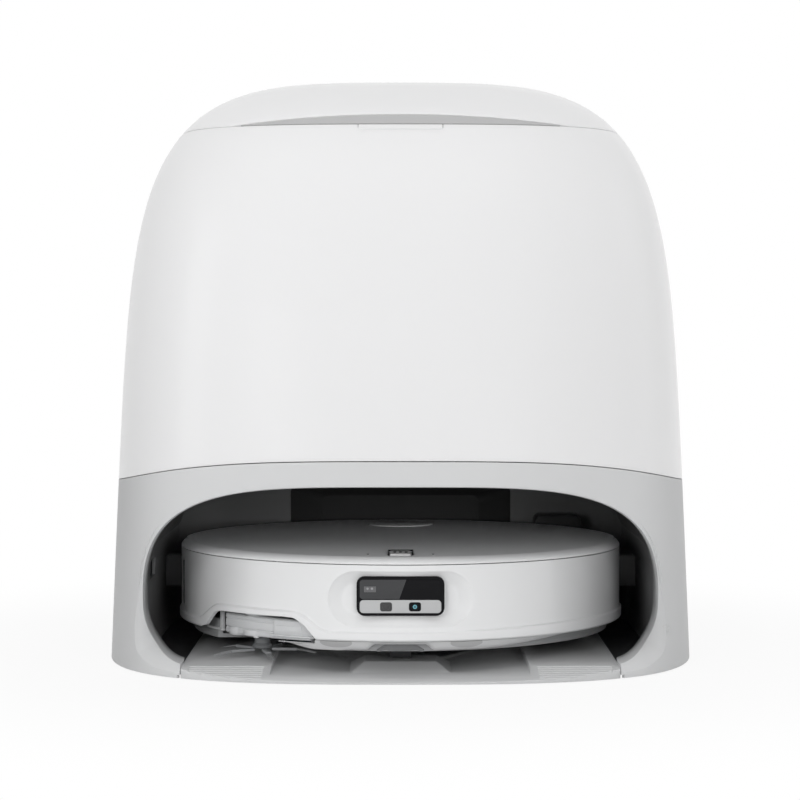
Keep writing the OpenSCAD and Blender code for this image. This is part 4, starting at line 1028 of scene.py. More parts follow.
class DOCK_OT_lid(bpy.types.Operator):
    """Domed lid with its finger recess and hinge tongues"""
    bl_idname = "dock.lid"
    bl_label = "Lid"

    def execute(self, context):
        s = sizes()
        angles = even_angles(0, WHOLE_TURN, 360)
        foot = lid_seam(angles)
        over, plan = SIDE_CURVE
        rows = np.linspace(1, 0, 70)[:, None]
        level = s.height * np.maximum(0, 1 - (swell(foot, over, plan) * rows) ** plan) ** (1 / over)
        level[0], level[-1] = foot, s.height
        lid = thicken(formed_sheet("lid_skin", outline(angles[None], level), (0, 0, 0.40)), s.wall)
        parts = [smooth(round_edges(lid, 0.0006, 45), 35)]
        for middle in (-HINGE_X, HINGE_X):
            across = around(middle, TONGUE_HALF)
            parts.append(peg("tongue", HINGE_RADIUS, *across, HINGE_Y, HINGE_Z, 40, axis='X'))
            for back, low, high in ((0.004, 0, 0.014), (0.009, 0.008, 0.015)):
                parts.append(slab("tongue_web", across, (HINGE_Y - back, HINGE_Y + 0.002),
                                  (HINGE_Z + low, HINGE_Z + high), edge=0.0005))
        finish_piece(join("lid_skin", *parts), "lid", finish=cover_white())
        self.recess()
        return {'FINISHED'}

    def recess(self):
        """Pale grey step that shows in the finger recess; its grey, darker than the cover white, is painted
        shade from the lid's edge over it
        """
        s = sizes()
        x = np.linspace(-0.47, 0.47, 121)[None] * s.recess_width
        low = s.lid_seam + 0.0003
        high = s.lid_seam + s.recess_height * (1 - (2 * x / s.recess_width) ** 2) - 0.0006
        z = low + (np.maximum(high, low + 0.0002) - low) * np.linspace(0, 1, 6)[:, None]
        strip = formed_sheet("recess_step", grid(x, front_skin(x, z) + 0.0009, z), (0, 0, 0.4))
        # Painted shade: the step's grey is the cover white darkened for the shade in the recess
        grey = moulded("Step grey", shaded(colours().cover, 0.60), 0.45, 1600.0, 0.04, 0.01, 0.0, 0.2)
        finish_piece(smooth(thicken(strip, 0.0060), 40), body="station", finish=grey)


# ---- Robot casing ----

SENSOR_TURN = 193.4
LENS_X, LENS_Z = 0.0105, 0.0437
BUMPER_FRONT = -0.1738
KEY_MIDDLE = -0.1440


def on_robot(piece):
    """Move a piece from the robot's own middle to its parking place"""
    piece.data.transform(Matrix.Translation(ROBOT))
    return piece


def turned_from_front(piece, angle):
    """Carry a piece that was made at the front round to an angle of the robot"""
    piece.data.transform(Matrix.Rotation(math.radians(angle - 270), 4, 'Z'))
    return piece


def notch_line():
    return rounded_line([
        (-0.1560, -0.01), (-0.0606, -0.01), (-0.0616, 0.0190), (-0.0700, 0.0285), (-0.0775, 0.0336),
        (-0.0860, 0.0341), (-0.1340, 0.0336), (-0.1400, 0.0318), (-0.1440, 0.0262), (-0.1478, 0.0204),
        (-0.1545, 0.0175)], 0.006)


def crease_line():
    top = [(x, casing().crease + up) for x, up in (
        (0.2, 0), (0.02, 0), (-0.040, 0), (-0.0530, 0.0004), (-0.0600, 0.0030), (-0.0688, 0.0096),
        (-0.0760, 0.0128), (-0.0850, 0.0137), (-0.105, 0.0139), (-0.133, 0.0138), (-0.1412, 0.0116),
        (-0.1475, 0.0058), (-0.1530, 0.0010), (-0.160, 0), (-0.2, 0))]
    return smooth_line(top + [(-0.2, -0.01), (0.2, -0.01)], 8)


class DOCK_OT_bumper(bpy.types.Operator):
    """Bumper with its camera recess, brush notch, creased skirt and slot for the wall sensor"""
    bl_idname = "dock.bumper"
    bl_label = "Bumper"

    def execute(self, context):
        r = casing()
        turn = np.radians(np.linspace(182.2, 357.8, 461))[None]
        z = np.linspace(r.bumper_low, r.bumper_high, 50)[:, None]
        piece = formed_sheet("bumper_skin", round_grid(r.radius, turn, z), (0, 0, 0.045))
        anywhere = lambda co: co[:, 1] < BACK_START
        recess = stadium(r.recess_level, r.recess_width, r.recess_height)
        score(piece, notch_line(), FROM_FRONT, on_casing, anywhere, remove=True)
        score(piece, recess, FROM_FRONT, on_casing, anywhere)
        score(piece, crease_line(), FROM_FRONT, on_casing, anywhere)
        beside_slot = around(r.radius * math.sin(math.radians(SENSOR_TURN)), 0.0046)
        score(piece, opening(beside_slot, (0.0284, 0.0666), 0.0028), FROM_SIDE,
              lambda spot: Vector((-math.sqrt(r.radius ** 2 - spot[1] ** 2), spot[1], spot[2])),
              lambda co: co[:, 0] < -0.15, remove=True)
        flat = np.array([v.co for v in piece.data.vertices])[:, FROM_FRONT]
        curl = 0.0016
        for v, dish, skirt in zip(piece.data.vertices, measure(flat, recess)[0],
                                  measure(flat, crease_line())[0]):
            radius = r.radius
            if dish < 0:
                radius -= 0.0002 + 0.0050 * min(1.0, -dish / 0.0085) ** 0.85
            if skirt < 0:
                radius += r.skirt * min(1.0, -skirt / 0.0009)
            radius -= 0.0012 * (max(0.0, curl - (v.co.z - r.bumper_low)) / curl) ** 2
            v.co.x *= radius / r.radius
            v.co.y *= radius / r.radius
        round_edges(thicken(piece, r.wall), 0.0005, 28)
        pearl = moulded("Pearl casing white", colours().casing, 0.30, 1700.0, 0.05, 0.012, 0.35)
        finish_piece(on_robot(smooth(piece, 26)), "bumper", finish=pearl)
        return {'FINISHED'}


class DOCK_OT_window(bpy.types.Operator):
    """Camera window: bezel, smoked glass, silver sensor strip, lenses and emitter"""
    bl_idname = "dock.window"
    bl_label = "Camera window"

    def execute(self, context):
        c, ink, strip_x = colours(), ink_black(), (-0.0297, 0.0297)

        def plate(name, x, z, proud, radius, edge=0.0003, back=0.002):
            return slab(name, x, (BUMPER_FRONT - proud, BUMPER_FRONT + back), z, radius, 'Y', edge)

        def dot(name, radius, x, z, proud, sides, edge, back=0.001):
            return peg(name, radius, BUMPER_FRONT - proud, BUMPER_FRONT + back, x, z, sides, edge, 'Y')

        def on_bumper(name, parts, paint):
            finish_piece(on_robot(join(name, *parts)), body="robot_bumper", finish=paint)

        bezel = plate("bezel", (-0.032, 0.032), (0.0369, 0.0657), 0, 0.006, 0.0006, 0.0085)
        rim = plate("bezel_rim", (-0.0307, 0.0307), (0.0382, 0.0644), 0.0002, 0.005)
        finish_piece(on_robot(join("bezel_dressed", bezel, rim)), "camera_frame", finish=ink)
        glass = plate("camera_glass_dressed", strip_x, (0.0492, 0.0634), 0.0005, 0.0024)
        finish_piece(on_robot(glass), "camera_glass", finish=dark_glass("Smoked window", c.ink))
        strip = plate("sensor_strip", strip_x, (0.0390, 0.0486), 0.0004, 0.0028)
        frames, rings, cores = zip(*(
            (plate("lens_frame", around(x, 0.0044), (0.0403, 0.0470), 0.0007, 0.0018),
             dot("lens_ring", 0.0026, x, LENS_Z, 0.0011, 40, 0.0004),
             dot("lens_core", 0.0018, x, LENS_Z, 0.0013, 40, 0.0006)) for x in (-LENS_X, LENS_X)))
        on_bumper("sensor_strip", [strip], moulded("Sensor silver", c.silver, 0.34, 1800.0, 0.03, 0.02, 0.2))
        smoke = moulded("Sensor smoke", (0.075, 0.075, 0.077), 0.3, 1400.0, 0.02, 0.2, 0.0, 0.15)
        on_bumper("sensor_left", [frames[0], rings[0], cores[0]], smoke)
        on_bumper("sensor_right", [frames[1], rings[1]], ink)
        on_bumper("sensor_lens", [cores[1]], lens_coating("Teal lens", c.lens))
        emitter = plate("emitter", (-0.0265, -0.0178), (0.0543, 0.0585), 0.0006, 0.0004, 0.0001, 0.001)
        on_bumper("emitter", [emitter], moulded("Emitter grey", (0.13, 0.13, 0.135), 0.3, 1800.0, 0.05, 0.1))
        dots = [dot("emitter_dot", 0.0009, x, 0.0569, 0.0009, 20, 0.0002, 0) for x in (-0.0239, -0.0207)]
        on_bumper("emitter_dots", dots, moulded("Emitter light", (0.33, 0.33, 0.34), 0.25, 1800.0, 0.05, 0.1))
        self.wall_sensor()
        return {'FINISHED'}

    def wall_sensor(self):
        """Silver frame with a dark slot near the left end of the bumper"""
        rim = slab("slot_frame_dressed", (-0.0045, 0.0045), (-0.1749, -0.1715), (0.0285, 0.0665), 0.003,
                   'Y', 0.0005)
        lens = slab("slot_lens", (0.0008, 0.0034), (-0.1754, -0.1715), (0.0305, 0.0650), 0.0012, 'Y', 0.0002)
        silver = moulded("Slot silver", shaded(colours().silver, 1.1), 0.3, 1500.0, 0.05, 0.03, 0.2)
        finish_piece(on_robot(turned_from_front(rim, SENSOR_TURN)), "sensor_lenses", finish=silver)
        finish_piece(on_robot(turned_from_front(lens, SENSOR_TURN)), body="robot_bumper", finish=ink_black())


class DOCK_OT_top(bpy.types.Operator):
    """Domed top cover, rounded shoulder, power key and lidar cap"""
    bl_idname = "dock.top"
    bl_label = "Robot top"

    def execute(self, context):
        white = moulded("Matte casing white", colours().casing, 0.6, 1700.0, 0.05, 0.012, 0.0, 0.15)
        for node in ("top_ring", "lidar_cap", "rear_band"):
            softened(node, white)
        self.cover(white)
        self.shoulders(white)
        self.key()
        return {'FINISHED'}

    def cover(self, white):
        """Cover that is wider at the back than at the front, with holes for the lidar and the key"""
        turn = np.linspace(0, WHOLE_TURN, 361)[None]
        edge = 0.172 - 0.007 * ease((np.abs(np.degrees(turn) - 90) - 88) / 5)
        r = edge * np.linspace(1, 0, 60)[:, None]
        dome = 0.0800 - 0.0007 * (r / 0.165) ** 4
        piece = formed_sheet("top_cover_skin", round_grid(r, turn, dome), (0, 0, 0))
        lidar = round_grid(0.0280, np.linspace(0, WHOLE_TURN, 97)[:-1], 0, (0, 0.112))[:, FROM_ABOVE]
        for line in (lidar, opening((-0.0090, 0.0090), (-0.1612, -0.1269), 0.002)):
            score(piece, line, FROM_ABOVE, Vector, lambda co: co[:, 2] > 0, remove=True)
        round_edges(thicken(piece, 0.0030), 0.0004, 45)
        finish_piece(on_robot(smooth(piece, 30)), "top_cover", finish=white)

    def shoulders(self, white):
        """Rounded shoulder round the cover, wide in front and narrow behind"""
        front = [(0.1655, 0.0752), (0.1655, 0.0794), (0.1662, 0.07965), (0.1684, 0.0794), (0.1706, 0.0788),
                 (0.1724, 0.0780), (0.1737, 0.0770), (0.1745, 0.0760), (0.1749, 0.0750), (0.1749, 0.0744),
                 (0.1740, 0.0742), (0.1700, 0.0742)]
        rear = [(0.1725, 0.0752), (0.1726, 0.0778), (0.1733, 0.0776), (0.1741, 0.0768), (0.1747, 0.0758),
                (0.1749, 0.0748), (0.1746, 0.0742), (0.1730, 0.0742)]
        for name, profile, start in (("shoulder_front", front, 181), ("shoulder_rear", rear, 1)):
            piece = smooth(spun_ring(name, profile, start, start + 178, 300), 50)
            finish_piece(on_robot(piece), body=body_of("top_ring"), finish=white)

    def key(self):
        """Power key with its dots, a pale bar that is a painted highlight on its front lip, its dark rim and
        the holes of the microphones
        """
        key = slab("power_key_dressed", (-0.0079, 0.0079), (-0.1598, -0.1284), (0.0775, 0.0804), 0.0030,
                   edge=0.0006)
        grey = moulded("Key grey", shaded(colours().casing, 0.85), 0.45, 1500.0, 0.04, 0.02, 0.0, 0.2)
        finish_piece(on_robot(key), "power_key", finish=grey)
        dots = [peg("key_dot", 0.0011, 0.0800, 0.0810, x, KEY_MIDDLE, 20, 0.0001)
                for x in (-0.0042, 0, 0.0042)]
        finish_piece(on_robot(join("key_dots", *dots)), body="robot_key", finish=ink_black())
        # Painted highlight: a pale bar where light catches the key's front lip
        bar = slab("key_bar", (-0.0072, 0.0072), (-0.1593, -0.1568), (0.0800, 0.0806), 0.0008, 'Z', 0.0002)
        bright_white = moulded("Key light", (0.9, 0.9, 0.9), 0.4, 1500.0, 0.03, 0.01, 0.0, 0.2)
        finish_piece(on_robot(bar), body="robot_key", finish=bright_white)
        rim = [slab("key_rim", (-0.0094, 0.0094), (-0.1271, -0.1263), (0.0792, 0.0808), edge=0.0001)]
        rim += [slab("key_rim", around(x, 0.0004), (-0.1560, -0.1264), (0.0792, 0.0804), edge=0.0001)
                for x in (-0.0091, 0.0091)]
        rim += [peg("mic_hole", 0.0008, 0.0792, 0.07985, x, -0.150, 20, 0.0001) for x in (-0.024, 0.024)]
        finish_piece(on_robot(join("key_rim", *rim)), body=body_of("top_cover"), finish=ink_black())


CHIN_TOP, CHIN_DROP, CHIN_UNDER_ARM = 0.0176, 0.0074, 0.0148
ARM_END = 248.5


def chin_profile(angle):
    """Section of the chin: it grows from the left, opens in an arch over the caster and fades to the right"""
    if angle < ARM_END:
        top = CHIN_UNDER_ARM
        share = (CHIN_TOP - 0.0144 + (CHIN_DROP - 0.0032) * ease((angle - 238) / 10.5)) / CHIN_DROP
    else:
        top = CHIN_TOP
        share = ease((327 - angle) / 38) * (0.36 + 0.64 * ease((abs(angle - 270) - 6.2) / 2.6))
    low = CHIN_TOP - CHIN_DROP * share
    rise = lambda part: min(low + part * share, top - 0.0002)
    inset = 0.0034 * (1 - ease((angle - 254) / 4))
    return [(0.1655 + inset, top + 0.0002), (0.1630 + inset, top - 0.0001), (0.1628 + inset, rise(0.0012)),
            (0.1634 + inset, rise(0.0002)), (0.1640 + inset, low), (0.1675 + inset / 4, rise(0.0010)),
            (0.1694, rise(0.0028)), (0.1708, rise(0.0050)),
            (0.1719 if angle > ARM_END else 0.1708, top - 0.0001), (0.1695, top + 0.0002)]


class DOCK_OT_chin(bpy.types.Operator):
    """Slanted chin under the bumper, with its drop sensors, and the skirt round the caster"""
    bl_idname = "dock.chin"
    bl_label = "Chin"

    def execute(self, context):
        grey = moulded("Chin grey", shaded(colours().casing, 0.78), 0.5, 1300.0, 0.08, 0.02, 0.0, 0.2)
        guard = spun_ring("mudguard", [(0.1640, 0.0160), (0.1672, 0.0166), (0.1676, 0.0176), (0.1668, 0.0182),
                                       (0.1636, 0.0176)], 207.5, 215.6, 20)
        post = spun_ring("mud_post", [(0.1628, 0.0170), (0.1652, 0.0170), (0.1652, 0.0330), (0.1628, 0.0330)],
                         213.6, 214.8, 4)
        chin = join("chin", spun_ring("chin", chin_profile, 238, 327, 267), guard, post)
        finish_piece(on_robot(smooth(chin, 45)), body="robot", finish=grey)
        self.sensors()
        self.caster_guard()
        return {'FINISHED'}

    def sensors(self):
        """Soft oval windows that look down to the floor"""
        share, turn = np.linspace(1, 0, 9)[:, None], np.linspace(0, WHOLE_TURN, 49)[None]
        slope = np.minimum(1.0, 0.84 + 0.56 * share * np.sin(turn))
        knots = (0.0, 0.33, 0.66, 1.0)
        radius = np.interp(slope, knots, (0.1677, 0.1694, 0.1708, 0.1719)) + 0.00034 - 0.00014 * share
        level = np.interp(slope, knots, (0.0112, 0.0130, 0.0152, 0.0175)) - 0.00026 + 0.0001 * share
        ovals = [thicken(formed_sheet("drop_sensor", round_grid(
            radius, np.radians(middle + 4.1 * share * np.cos(turn)), level), (0, 0, 0.03)), 0.0006)
            for middle in (254.0, 286.4)]
        grey = moulded("Drop sensor grey", (0.50, 0.50, 0.505), 0.4, 1300.0, 0.05, 0.05, 0.0, 0.2)
        finish_piece(on_robot(smooth(join("drop_sensors", *ovals), 40)), body="robot", finish=grey)

    def caster_guard(self):
        """Domed guard in front of the caster, with a foot at each side and a dip between them"""
        half = 0.0172
        x = np.linspace(-half, half, 87)[None]
        side = np.abs(x) / half
        high = 0.0166 - 0.0052 * side ** 2.4
        low = 0.0109 - 0.0013 * clamp((side - 0.78) / 0.06) - 0.0007 * np.maximum(0, np.cos(side * 2.6))
        bulge = 0.1648 + 0.0012 * np.sin(np.linspace(0.2, 1, 12)[:, None] * np.pi)
        points = grid(x, -np.sqrt(bulge ** 2 - x ** 2), low + (high - low) * np.linspace(0, 1, 12)[:, None])
        guard = thicken(formed_sheet("caster_guard", points, (0, 0, 0.013)), 0.0018)
        grey = moulded("Guard grey", (0.19, 0.193, 0.197), 0.5, 1000.0, 0.12, 0.04, 0.0, 0.2)
        finish_piece(on_robot(smooth(round_edges(guard, 0.0003, 50), 40)), body="robot", finish=grey)


class DOCK_OT_side_brush(bpy.types.Operator):
    """Milky arm housing with its grooves and paddle, and the corner brush with five tufts"""
    bl_idname = "dock.side_brush"
    bl_label = "Side brush"

    def execute(self, context):
        hub = (-0.104, -0.112)
        self.arm(hub)
        self.brush(hub)
        return {'FINISHED'}

    def arm(self, hub):
        wall = [(0.1600, 0.0157), (0.1655, 0.0157), (0.1664, 0.0166), (0.1664, 0.0196), (0.1656, 0.0200),
                (0.1656, 0.0206), (0.1664, 0.0210), (0.1664, 0.0262), (0.1657, 0.0266), (0.1657, 0.0271),
                (0.1664, 0.0275), (0.1664, 0.0296), (0.1652, 0.0308), (0.1600, 0.0308)]
        cover = [(0.1640, 0.0172), (0.1672, 0.0172), (0.1679, 0.0182), (0.1679, 0.0294), (0.1670, 0.0304),
                 (0.1640, 0.0304)]
        relief = [(0.1670, 0.0208), (0.1682, 0.0212), (0.1685, 0.0222), (0.1685, 0.0250), (0.1682, 0.0260),
                  (0.1670, 0.0264)]
        lip = [(0.1655, 0.0181), (0.1700, 0.0182), (0.1704, 0.0187), (0.1700, 0.0193), (0.1655, 0.0193)]
        paddle = [(0.0118, 0.0152), (0.0138, 0.0152), (0.0150, 0.0160), (0.0153, 0.0172), (0.0150, 0.0200),
                  (0.0118, 0.0200)]
        pieces = [round_edges(spun_ring(name, profile, start, end, steps), edge, 60)
                  for name, profile, start, end, steps, edge in (
                      ("arm_wall", wall, 217.2, 246.5, 90, 0.0004),
                      ("arm_cover", cover, 235.8, 247.3, 40, 0.0006),
                      ("arm_relief", relief, 236.4, 244.4, 40, 0.0006),
                      ("arm_lip", lip, 234.5, 248, 40, 0.0003))]
        pieces += [spun_ring("paddle", paddle, 0, 360, 72, hub),
                   peg("paddle_lobe", 0.0106, 0.0140, 0.0215, -0.1200, -0.1024, 56, 0.0032),
                   peg("arm_roof", 0.0140, 0.0292, 0.0306, *hub),
                   turned_from_front(slab("clip", (-0.0020, 0.0020), (-0.1672, -0.1650), (0.0146, 0.0164),
                                          0.0006, 'Y', 0.0003), 229.5)]
        for part in pieces:
            on_robot(smooth(part, 40))
        arm = softened("brush_arm")
        finish_piece(join(arm.name, arm, *pieces), "brush_arm",
                     finish=clear_plastic("Arm clear", (0.84, 0.85, 0.86), 0.20, 0.30))

    def brush(self, hub):
        """Hub on its shaft, with five soft strips that each end in a tuft of bristles"""
        cone = [(0.0, 0.0052), (0.0062, 0.0052), (0.0075, 0.0060), (0.0078, 0.0078), (0.0060, 0.0096),
                (0.0058, 0.0130), (0.0085, 0.0150), (0.0108, 0.0156), (0.0108, 0.0158), (0.0, 0.0158)]
        parts = [spun_ring("brush_hub", cone, 0, 360, 64, hub),
                 peg("brush_shaft", 0.0029, 0.0150, 0.0258, *hub, 32)]
        finish_piece(on_robot(join("side_brush_hub", *parts)), "side_brush",
                     finish=moulded("Brush grey", (0.16, 0.165, 0.17), 0.5, 900.0, 0.15, 0.05))
        strips, fibres = [], []
        dice = np.random.default_rng(7)
        along, ring = np.linspace(0, 1, 6)[:, None], np.radians([[90, 210, 330, 450]])
        thick, root = 0.00022 * (1 - 0.4 * along), 0.0245
        for tuft in range(5):
            turn = Matrix.Translation((*hub, 0)) @ Matrix.Rotation(math.radians(212 + 72 * tuft), 4, 'Z')
            strips.append(slab("strip", (0.0070, 0.0270), (-0.0022, 0.0022), (0.0036, 0.0056), 0.0016,
                               segments=3))
            strips[-1].data.transform(turn)
            for fibre in range(casing().bristles):
                lean = dice.uniform(-0.10, 0.10)
                reach = root + (dice.uniform(0.0385, 0.0408) - root) * along
                side = dice.uniform(-0.0016, 0.0016) + 0.0165 * lean * along ** 1.4
                level = 0.0046 - 0.0026 * along ** 1.6 + dice.uniform(-0.0004, 0.0004)
                fibres.append(formed_sheet("fibre", grid(reach, side + thick * np.cos(ring),
                                                         level + thick * np.sin(ring))))
                fibres[-1].data.transform(turn)
        finish_piece(on_robot(smooth(join("brush_strips", *strips), 40)), body="corner_brush",
                     finish=clear_plastic("Bristle strip", (0.42, 0.43, 0.44), 0.35, 0.35))
        finish_piece(on_robot(smooth(join("brush_fibres", *fibres), 80)), body="corner_brush",
                     finish=moulded("Bristle grey", (0.30, 0.305, 0.31), 0.5, 900.0, 0.1, 0.1))


# ---- Everything else: the solids, with broken edges and their own finishes ----

def other_finishes():
    """Each solid that keeps its shape, with its finish: maker, nodes, name, tone and the maker's values"""
    c = colours()
    rows = (
        (moulded, "top_deck", "Deck grey", (0.90, 0.905, 0.91), 0.4, 1300.0, 0.1, 0.02),
        (moulded, "inner_frame", "Frame grey", (0.48, 0.49, 0.50), 0.5, 1000.0, 0.15, 0.03),
        (moulded, "bay_liner", "Bay charcoal", c.bay, 0.46, 1200.0, 0.15, 0.06),
        (moulded, "rear_pocket", "Pocket black", shaded(c.bay, 0.25), 0.5, 1100.0, 0.15, 0.05),
        (moulded, "refill_nozzle", "Nozzle charcoal", (0.035, 0.036, 0.038), 0.45, 1100.0, 0.12, 0.05),
        (moulded, "wash_tray", "Tray grey", c.tray, 0.40, 1400.0, 0.12, 0.02, 0.05),
        (moulded, "washboard", "Washboard grey", (0.27, 0.275, 0.28), 0.45, 1100.0, 0.15, 0.04),
        (moulded, "base_plate", "Plate grey", (0.10, 0.10, 0.105), 0.55, 900.0, 0.2, 0.05),
        (rubber, "rubber_feet", "Foot rubber", (0.02, 0.02, 0.02)),
        (moulded, "contact_left contact_right", "Contact charcoal", (0.06, 0.061, 0.063), 0.4, 1200.0, 0.12,
         0.05),
        (metal, "hinge_pins", "Pin steel", (0.55, 0.55, 0.56), 0.22, (40, 1, 1)),
        (clear_plastic, "clean_tank", "Tank clear blue", (0.62, 0.74, 0.80), 0.75, 0.12),
        (clear_plastic, "dirty_tank", "Tank smoke", (0.20, 0.23, 0.25), 0.55, 0.15),
        (moulded, "clean_tank_handle", "Handle blue", (0.075, 0.20, 0.42), 0.4, 1200.0, 0.12, 0.04),
        (moulded, "dirty_tank_handle", "Handle grey", (0.085, 0.09, 0.095), 0.45, 1200.0, 0.12, 0.04),
        (moulded, "suction_motor", "Motor shell", (0.045, 0.048, 0.05), 0.4, 1000.0, 0.2, 0.05),
        (moulded, "dust_duct", "Duct grey", (0.085, 0.09, 0.095), 0.5, 1000.0, 0.15, 0.04),
        (moulded, "water_pumps", "Pump grey", (0.07, 0.075, 0.085), 0.45, 1000.0, 0.15, 0.05),
        (moulded, "dryer_fan", "Fan black", (0.04, 0.045, 0.05), 0.45, 1000.0, 0.15, 0.05),
        (circuit_green, "control_board main_board", "Board green"),
        (moulded, "power_inlet", "Inlet black", (0.012, 0.012, 0.013), 0.35, 1200.0, 0.12, 0.06),
        (moulded, "chassis", "Chassis grey", c.chassis, 0.5, 900.0, 0.2, 0.05),
        (moulded, "lidar_turret", "Turret black", (0.018, 0.018, 0.02), 0.3, 1200.0, 0.08, 0.05),
        (rubber, "drive_wheel_left drive_wheel_right", "Tyre rubber", (0.016, 0.016, 0.017)),
        (moulded, "wheel_arm_left wheel_arm_right", "Arm grey", (0.30, 0.31, 0.32), 0.45, 1000.0, 0.15, 0.04),
        (moulded, "caster_fork", "Fork grey", (0.15, 0.155, 0.16), 0.45, 1000.0, 0.15, 0.04),
        (rubber, "caster_wheel", "Caster rubber", (0.035, 0.036, 0.038)),
        (rubber, "main_brush_left main_brush_right", "Roller grey", (0.020, 0.024, 0.030)),
        (moulded, "mop_hub_left mop_hub_right", "Hub grey", (0.14, 0.15, 0.155), 0.45, 1000.0, 0.12, 0.04),
        (moulded, "mop_plate_left mop_plate_right", "Mop plate grey", (0.22, 0.23, 0.24), 0.45, 1000.0, 0.12,
         0.04),
        (clear_plastic, "dustbin", "Bin smoke", (0.10, 0.11, 0.115), 0.45, 0.15),
        (moulded, "battery", "Battery wrap", (0.035, 0.06, 0.11), 0.35, 700.0, 0.08, 0.05),
        (moulded, "robot_fan", "Fan shell", (0.045, 0.05, 0.055), 0.45, 1000.0, 0.15, 0.05),
        (metal, "charge_plates", "Plate brass", (0.55, 0.42, 0.2), 0.25),
    )
    return {node: make(name, *values) for make, nodes, name, *values in rows for node in nodes.split()}


class DOCK_OT_solids(bpy.types.Operator):
    """Broken edges and finishes for the solids that keep their own shape"""
    bl_idname = "dock.solids"
    bl_label = "Other pieces"

    def execute(self, context):
        for node, paint in other_finishes().items():
            piece = softened(node, paint)
            if node == "wash_tray":
                self.caster_pad(piece, paint)
        return {'FINISHED'}

    def caster_pad(self, tray, paint):
        """Give the tray one sloped rise under the caster, in place of its steps"""
        y0, y1 = ROBOT.y - 0.176, ROBOT.y - 0.104
        floor, slab_top = 0.0020, 0.0032
        for vert in tray.data.vertices:
            x, y, z = vert.co
            if abs(x) < 0.0305 and y0 + 0.02 < y < y1 - 0.0005 and z > slab_top:
                vert.co.z = slab_top
        x, y = np.linspace(-0.0405, 0.0405, 82)[None], np.linspace(y0, y1, 60)[:, None]
        aside = clamp((0.0400 - np.abs(x)) / 0.0135)
        ahead = clamp((y - y0 - 0.001) / 0.030) * clamp((y1 - 0.001 - y) / 0.006)
        level = floor + (ROBOT.z - 0.0002 - floor) * np.minimum(aside, ahead)
        pad = thicken(formed_sheet("caster_pad", grid(x, y, level), (0, -0.15, -1)), 0.0012)
        smooth(round_edges(pad, 0.0012, 20, 3), 30)
        finish_piece(join(tray.name, tray, pad), "wash_tray", finish=paint)


class DOCK_OT_mop_pads(bpy.types.Operator):
    """Looped mop cloths with a crowned face and a stitched rim"""
    bl_idname = "dock.mop_pads"
    bl_label = "Mop cloths"

    def execute(self, context):
        cloth = pile_cloth("Mop pile", colours().cloth)
        rim = [0.965, 0.99, 1.0, 0.99, 0.965]
        across = np.concatenate([np.linspace(0.0, 0.93, 26), rim, np.linspace(0.93, 0.0, 26)])[:, None]
        side = np.sign(np.arange(len(across)) - len(across) // 2)[:, None]
        turn = np.linspace(0, WHOLE_TURN, 181)[None]
        stitches = np.sin(turn * 36)
        edge = np.sqrt(1 - clamp((across - 0.90) / 0.10) ** 2)
        groove = np.exp(-((across - 0.90) / 0.012) ** 2) + 0.5 * np.exp(-((across - 0.30) / 0.014) ** 2)
        crown = edge * (0.94 + 0.06 * np.cos(across * 3)) - 0.34 * groove + 0.03 * stitches * across ** 4
        for node in ("mop_pad_left", "mop_pad_right"):
            low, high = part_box(node)
            centre, radius, thick = (low + high) / 2, (high.x - low.x) / 2, high.z - low.z
            height = np.clip(side * thick / 2 * crown, -thick / 2, thick / 2)
            reach = radius * across * (1 - 0.004 * (1 + stitches))
            points = round_grid(reach, turn, centre.z + height, centre)
            pad = smooth(close_seams(formed_sheet(node + "_cloth", points)), 60)
            finish_piece(pad, node, finish=cloth)
        return {'FINISHED'}


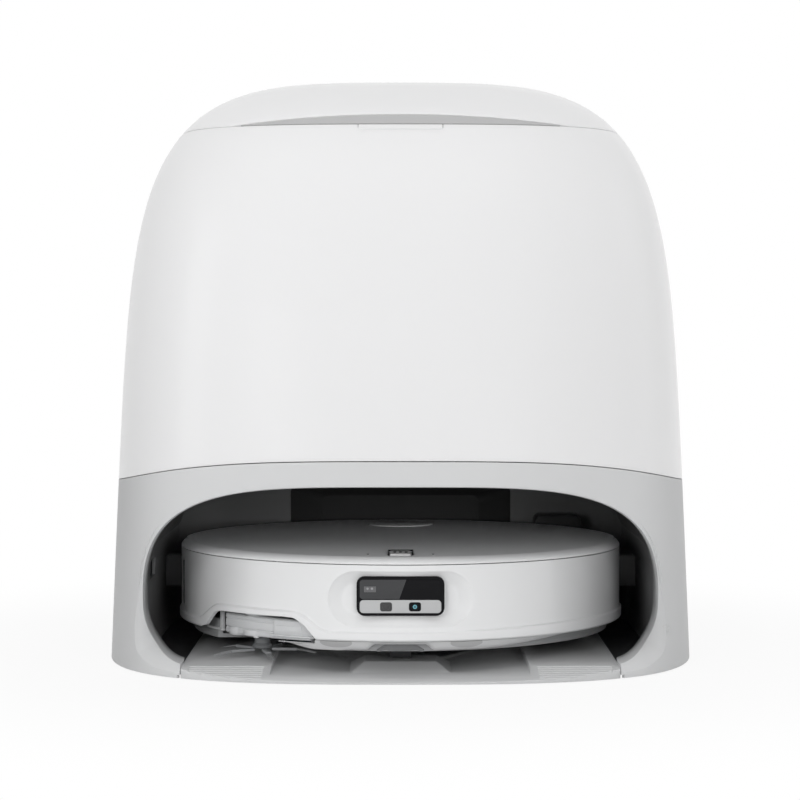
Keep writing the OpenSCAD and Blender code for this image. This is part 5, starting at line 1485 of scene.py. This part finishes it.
class DOCK_OT_dust_bag(bpy.types.Operator):
    """Fleece dust bag, swollen between its welded seams, with its card collar"""
    bl_idname = "dock.dust_bag"
    bl_label = "Dust bag"

    def execute(self, context):
        low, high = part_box("dust_bag")
        top = Vector((high.x, high.y - 0.006, high.z - 0.005))
        centre, half = (low + top) / 2, (top - low) / 2
        lean = np.linspace(-np.pi / 2, np.pi / 2, 70)[:, None]
        turn = np.linspace(0, WHOLE_TURN, 141)[None]
        ring = np.maximum(1e-4, np.cos(lean)) ** 0.42
        folds = 1 - 0.025 * (1 + np.sin(9 * turn + 3 * lean)) * np.sin(lean) ** 2 \
            - 0.012 * (1 + np.sin(23 * turn - 5 * lean))
        points = grid(centre.x + half.x * ring * signed_power(np.cos(turn), 0.5) * folds,
                      centre.y + half.y * ring * signed_power(np.sin(turn), 0.62) * folds,
                      centre.z + half.z * signed_power(np.sin(lean), 0.62) * 0.995)
        bag = smooth(close_seams(formed_sheet("dust_bag_fleece", points)), 60)
        finish_piece(bag, "dust_bag", finish=fleece("Bag fleece", colours().bag))
        collar = slab("bag_collar", around(centre.x, 0.038), (high.y - 0.040, high.y - 0.001),
                      (top.z - 0.001, high.z), 0.006, edge=0.0006)
        finish_piece(collar, body="station",
                     finish=moulded("Collar card", (0.52, 0.40, 0.27), 0.8, 500.0, 0.3, 0.08))
        return {'FINISHED'}


class DOCK_PT_panel(bpy.types.Panel):
    """Pieces of the docking station and the robot"""
    bl_label = "Robot vacuum and dock"
    bl_idname = "DOCK_PT_panel"
    bl_space_type = 'VIEW_3D'
    bl_region_type = 'UI'
    bl_category = "Dock"

    def draw(self, context):
        for name in GROUPS:
            group = getattr(context.scene, name)
            box = self.layout.box()
            for key in group.__annotations__:
                box.prop(group, key)
        for operator in OPERATORS:
            self.layout.operator(operator.bl_idname)


GROUPS = {"station_sizes": StationSizes, "robot_sizes": RobotSizes, "finish_colours": FinishColours}
OPERATORS = (DOCK_OT_stage, DOCK_OT_base, DOCK_OT_front_cover, DOCK_OT_housing, DOCK_OT_lid,
             DOCK_OT_bumper, DOCK_OT_window, DOCK_OT_top, DOCK_OT_chin, DOCK_OT_side_brush,
             DOCK_OT_mop_pads, DOCK_OT_dust_bag, DOCK_OT_solids)
CLASSES = (*GROUPS.values(), *OPERATORS, DOCK_PT_panel)


def register():
    for item in CLASSES:
        bpy.utils.register_class(item)
    for name, group in GROUPS.items():
        setattr(bpy.types.Scene, name, PointerProperty(type=group))


def unregister():
    for name in GROUPS:
        delattr(bpy.types.Scene, name)
    for item in reversed(CLASSES):
        bpy.utils.unregister_class(item)


def main():
    register()
    for operator in OPERATORS:
        group, name = operator.bl_idname.split(".")
        getattr(getattr(bpy.ops, group), name)()


if __name__ == "__main__":
    main()
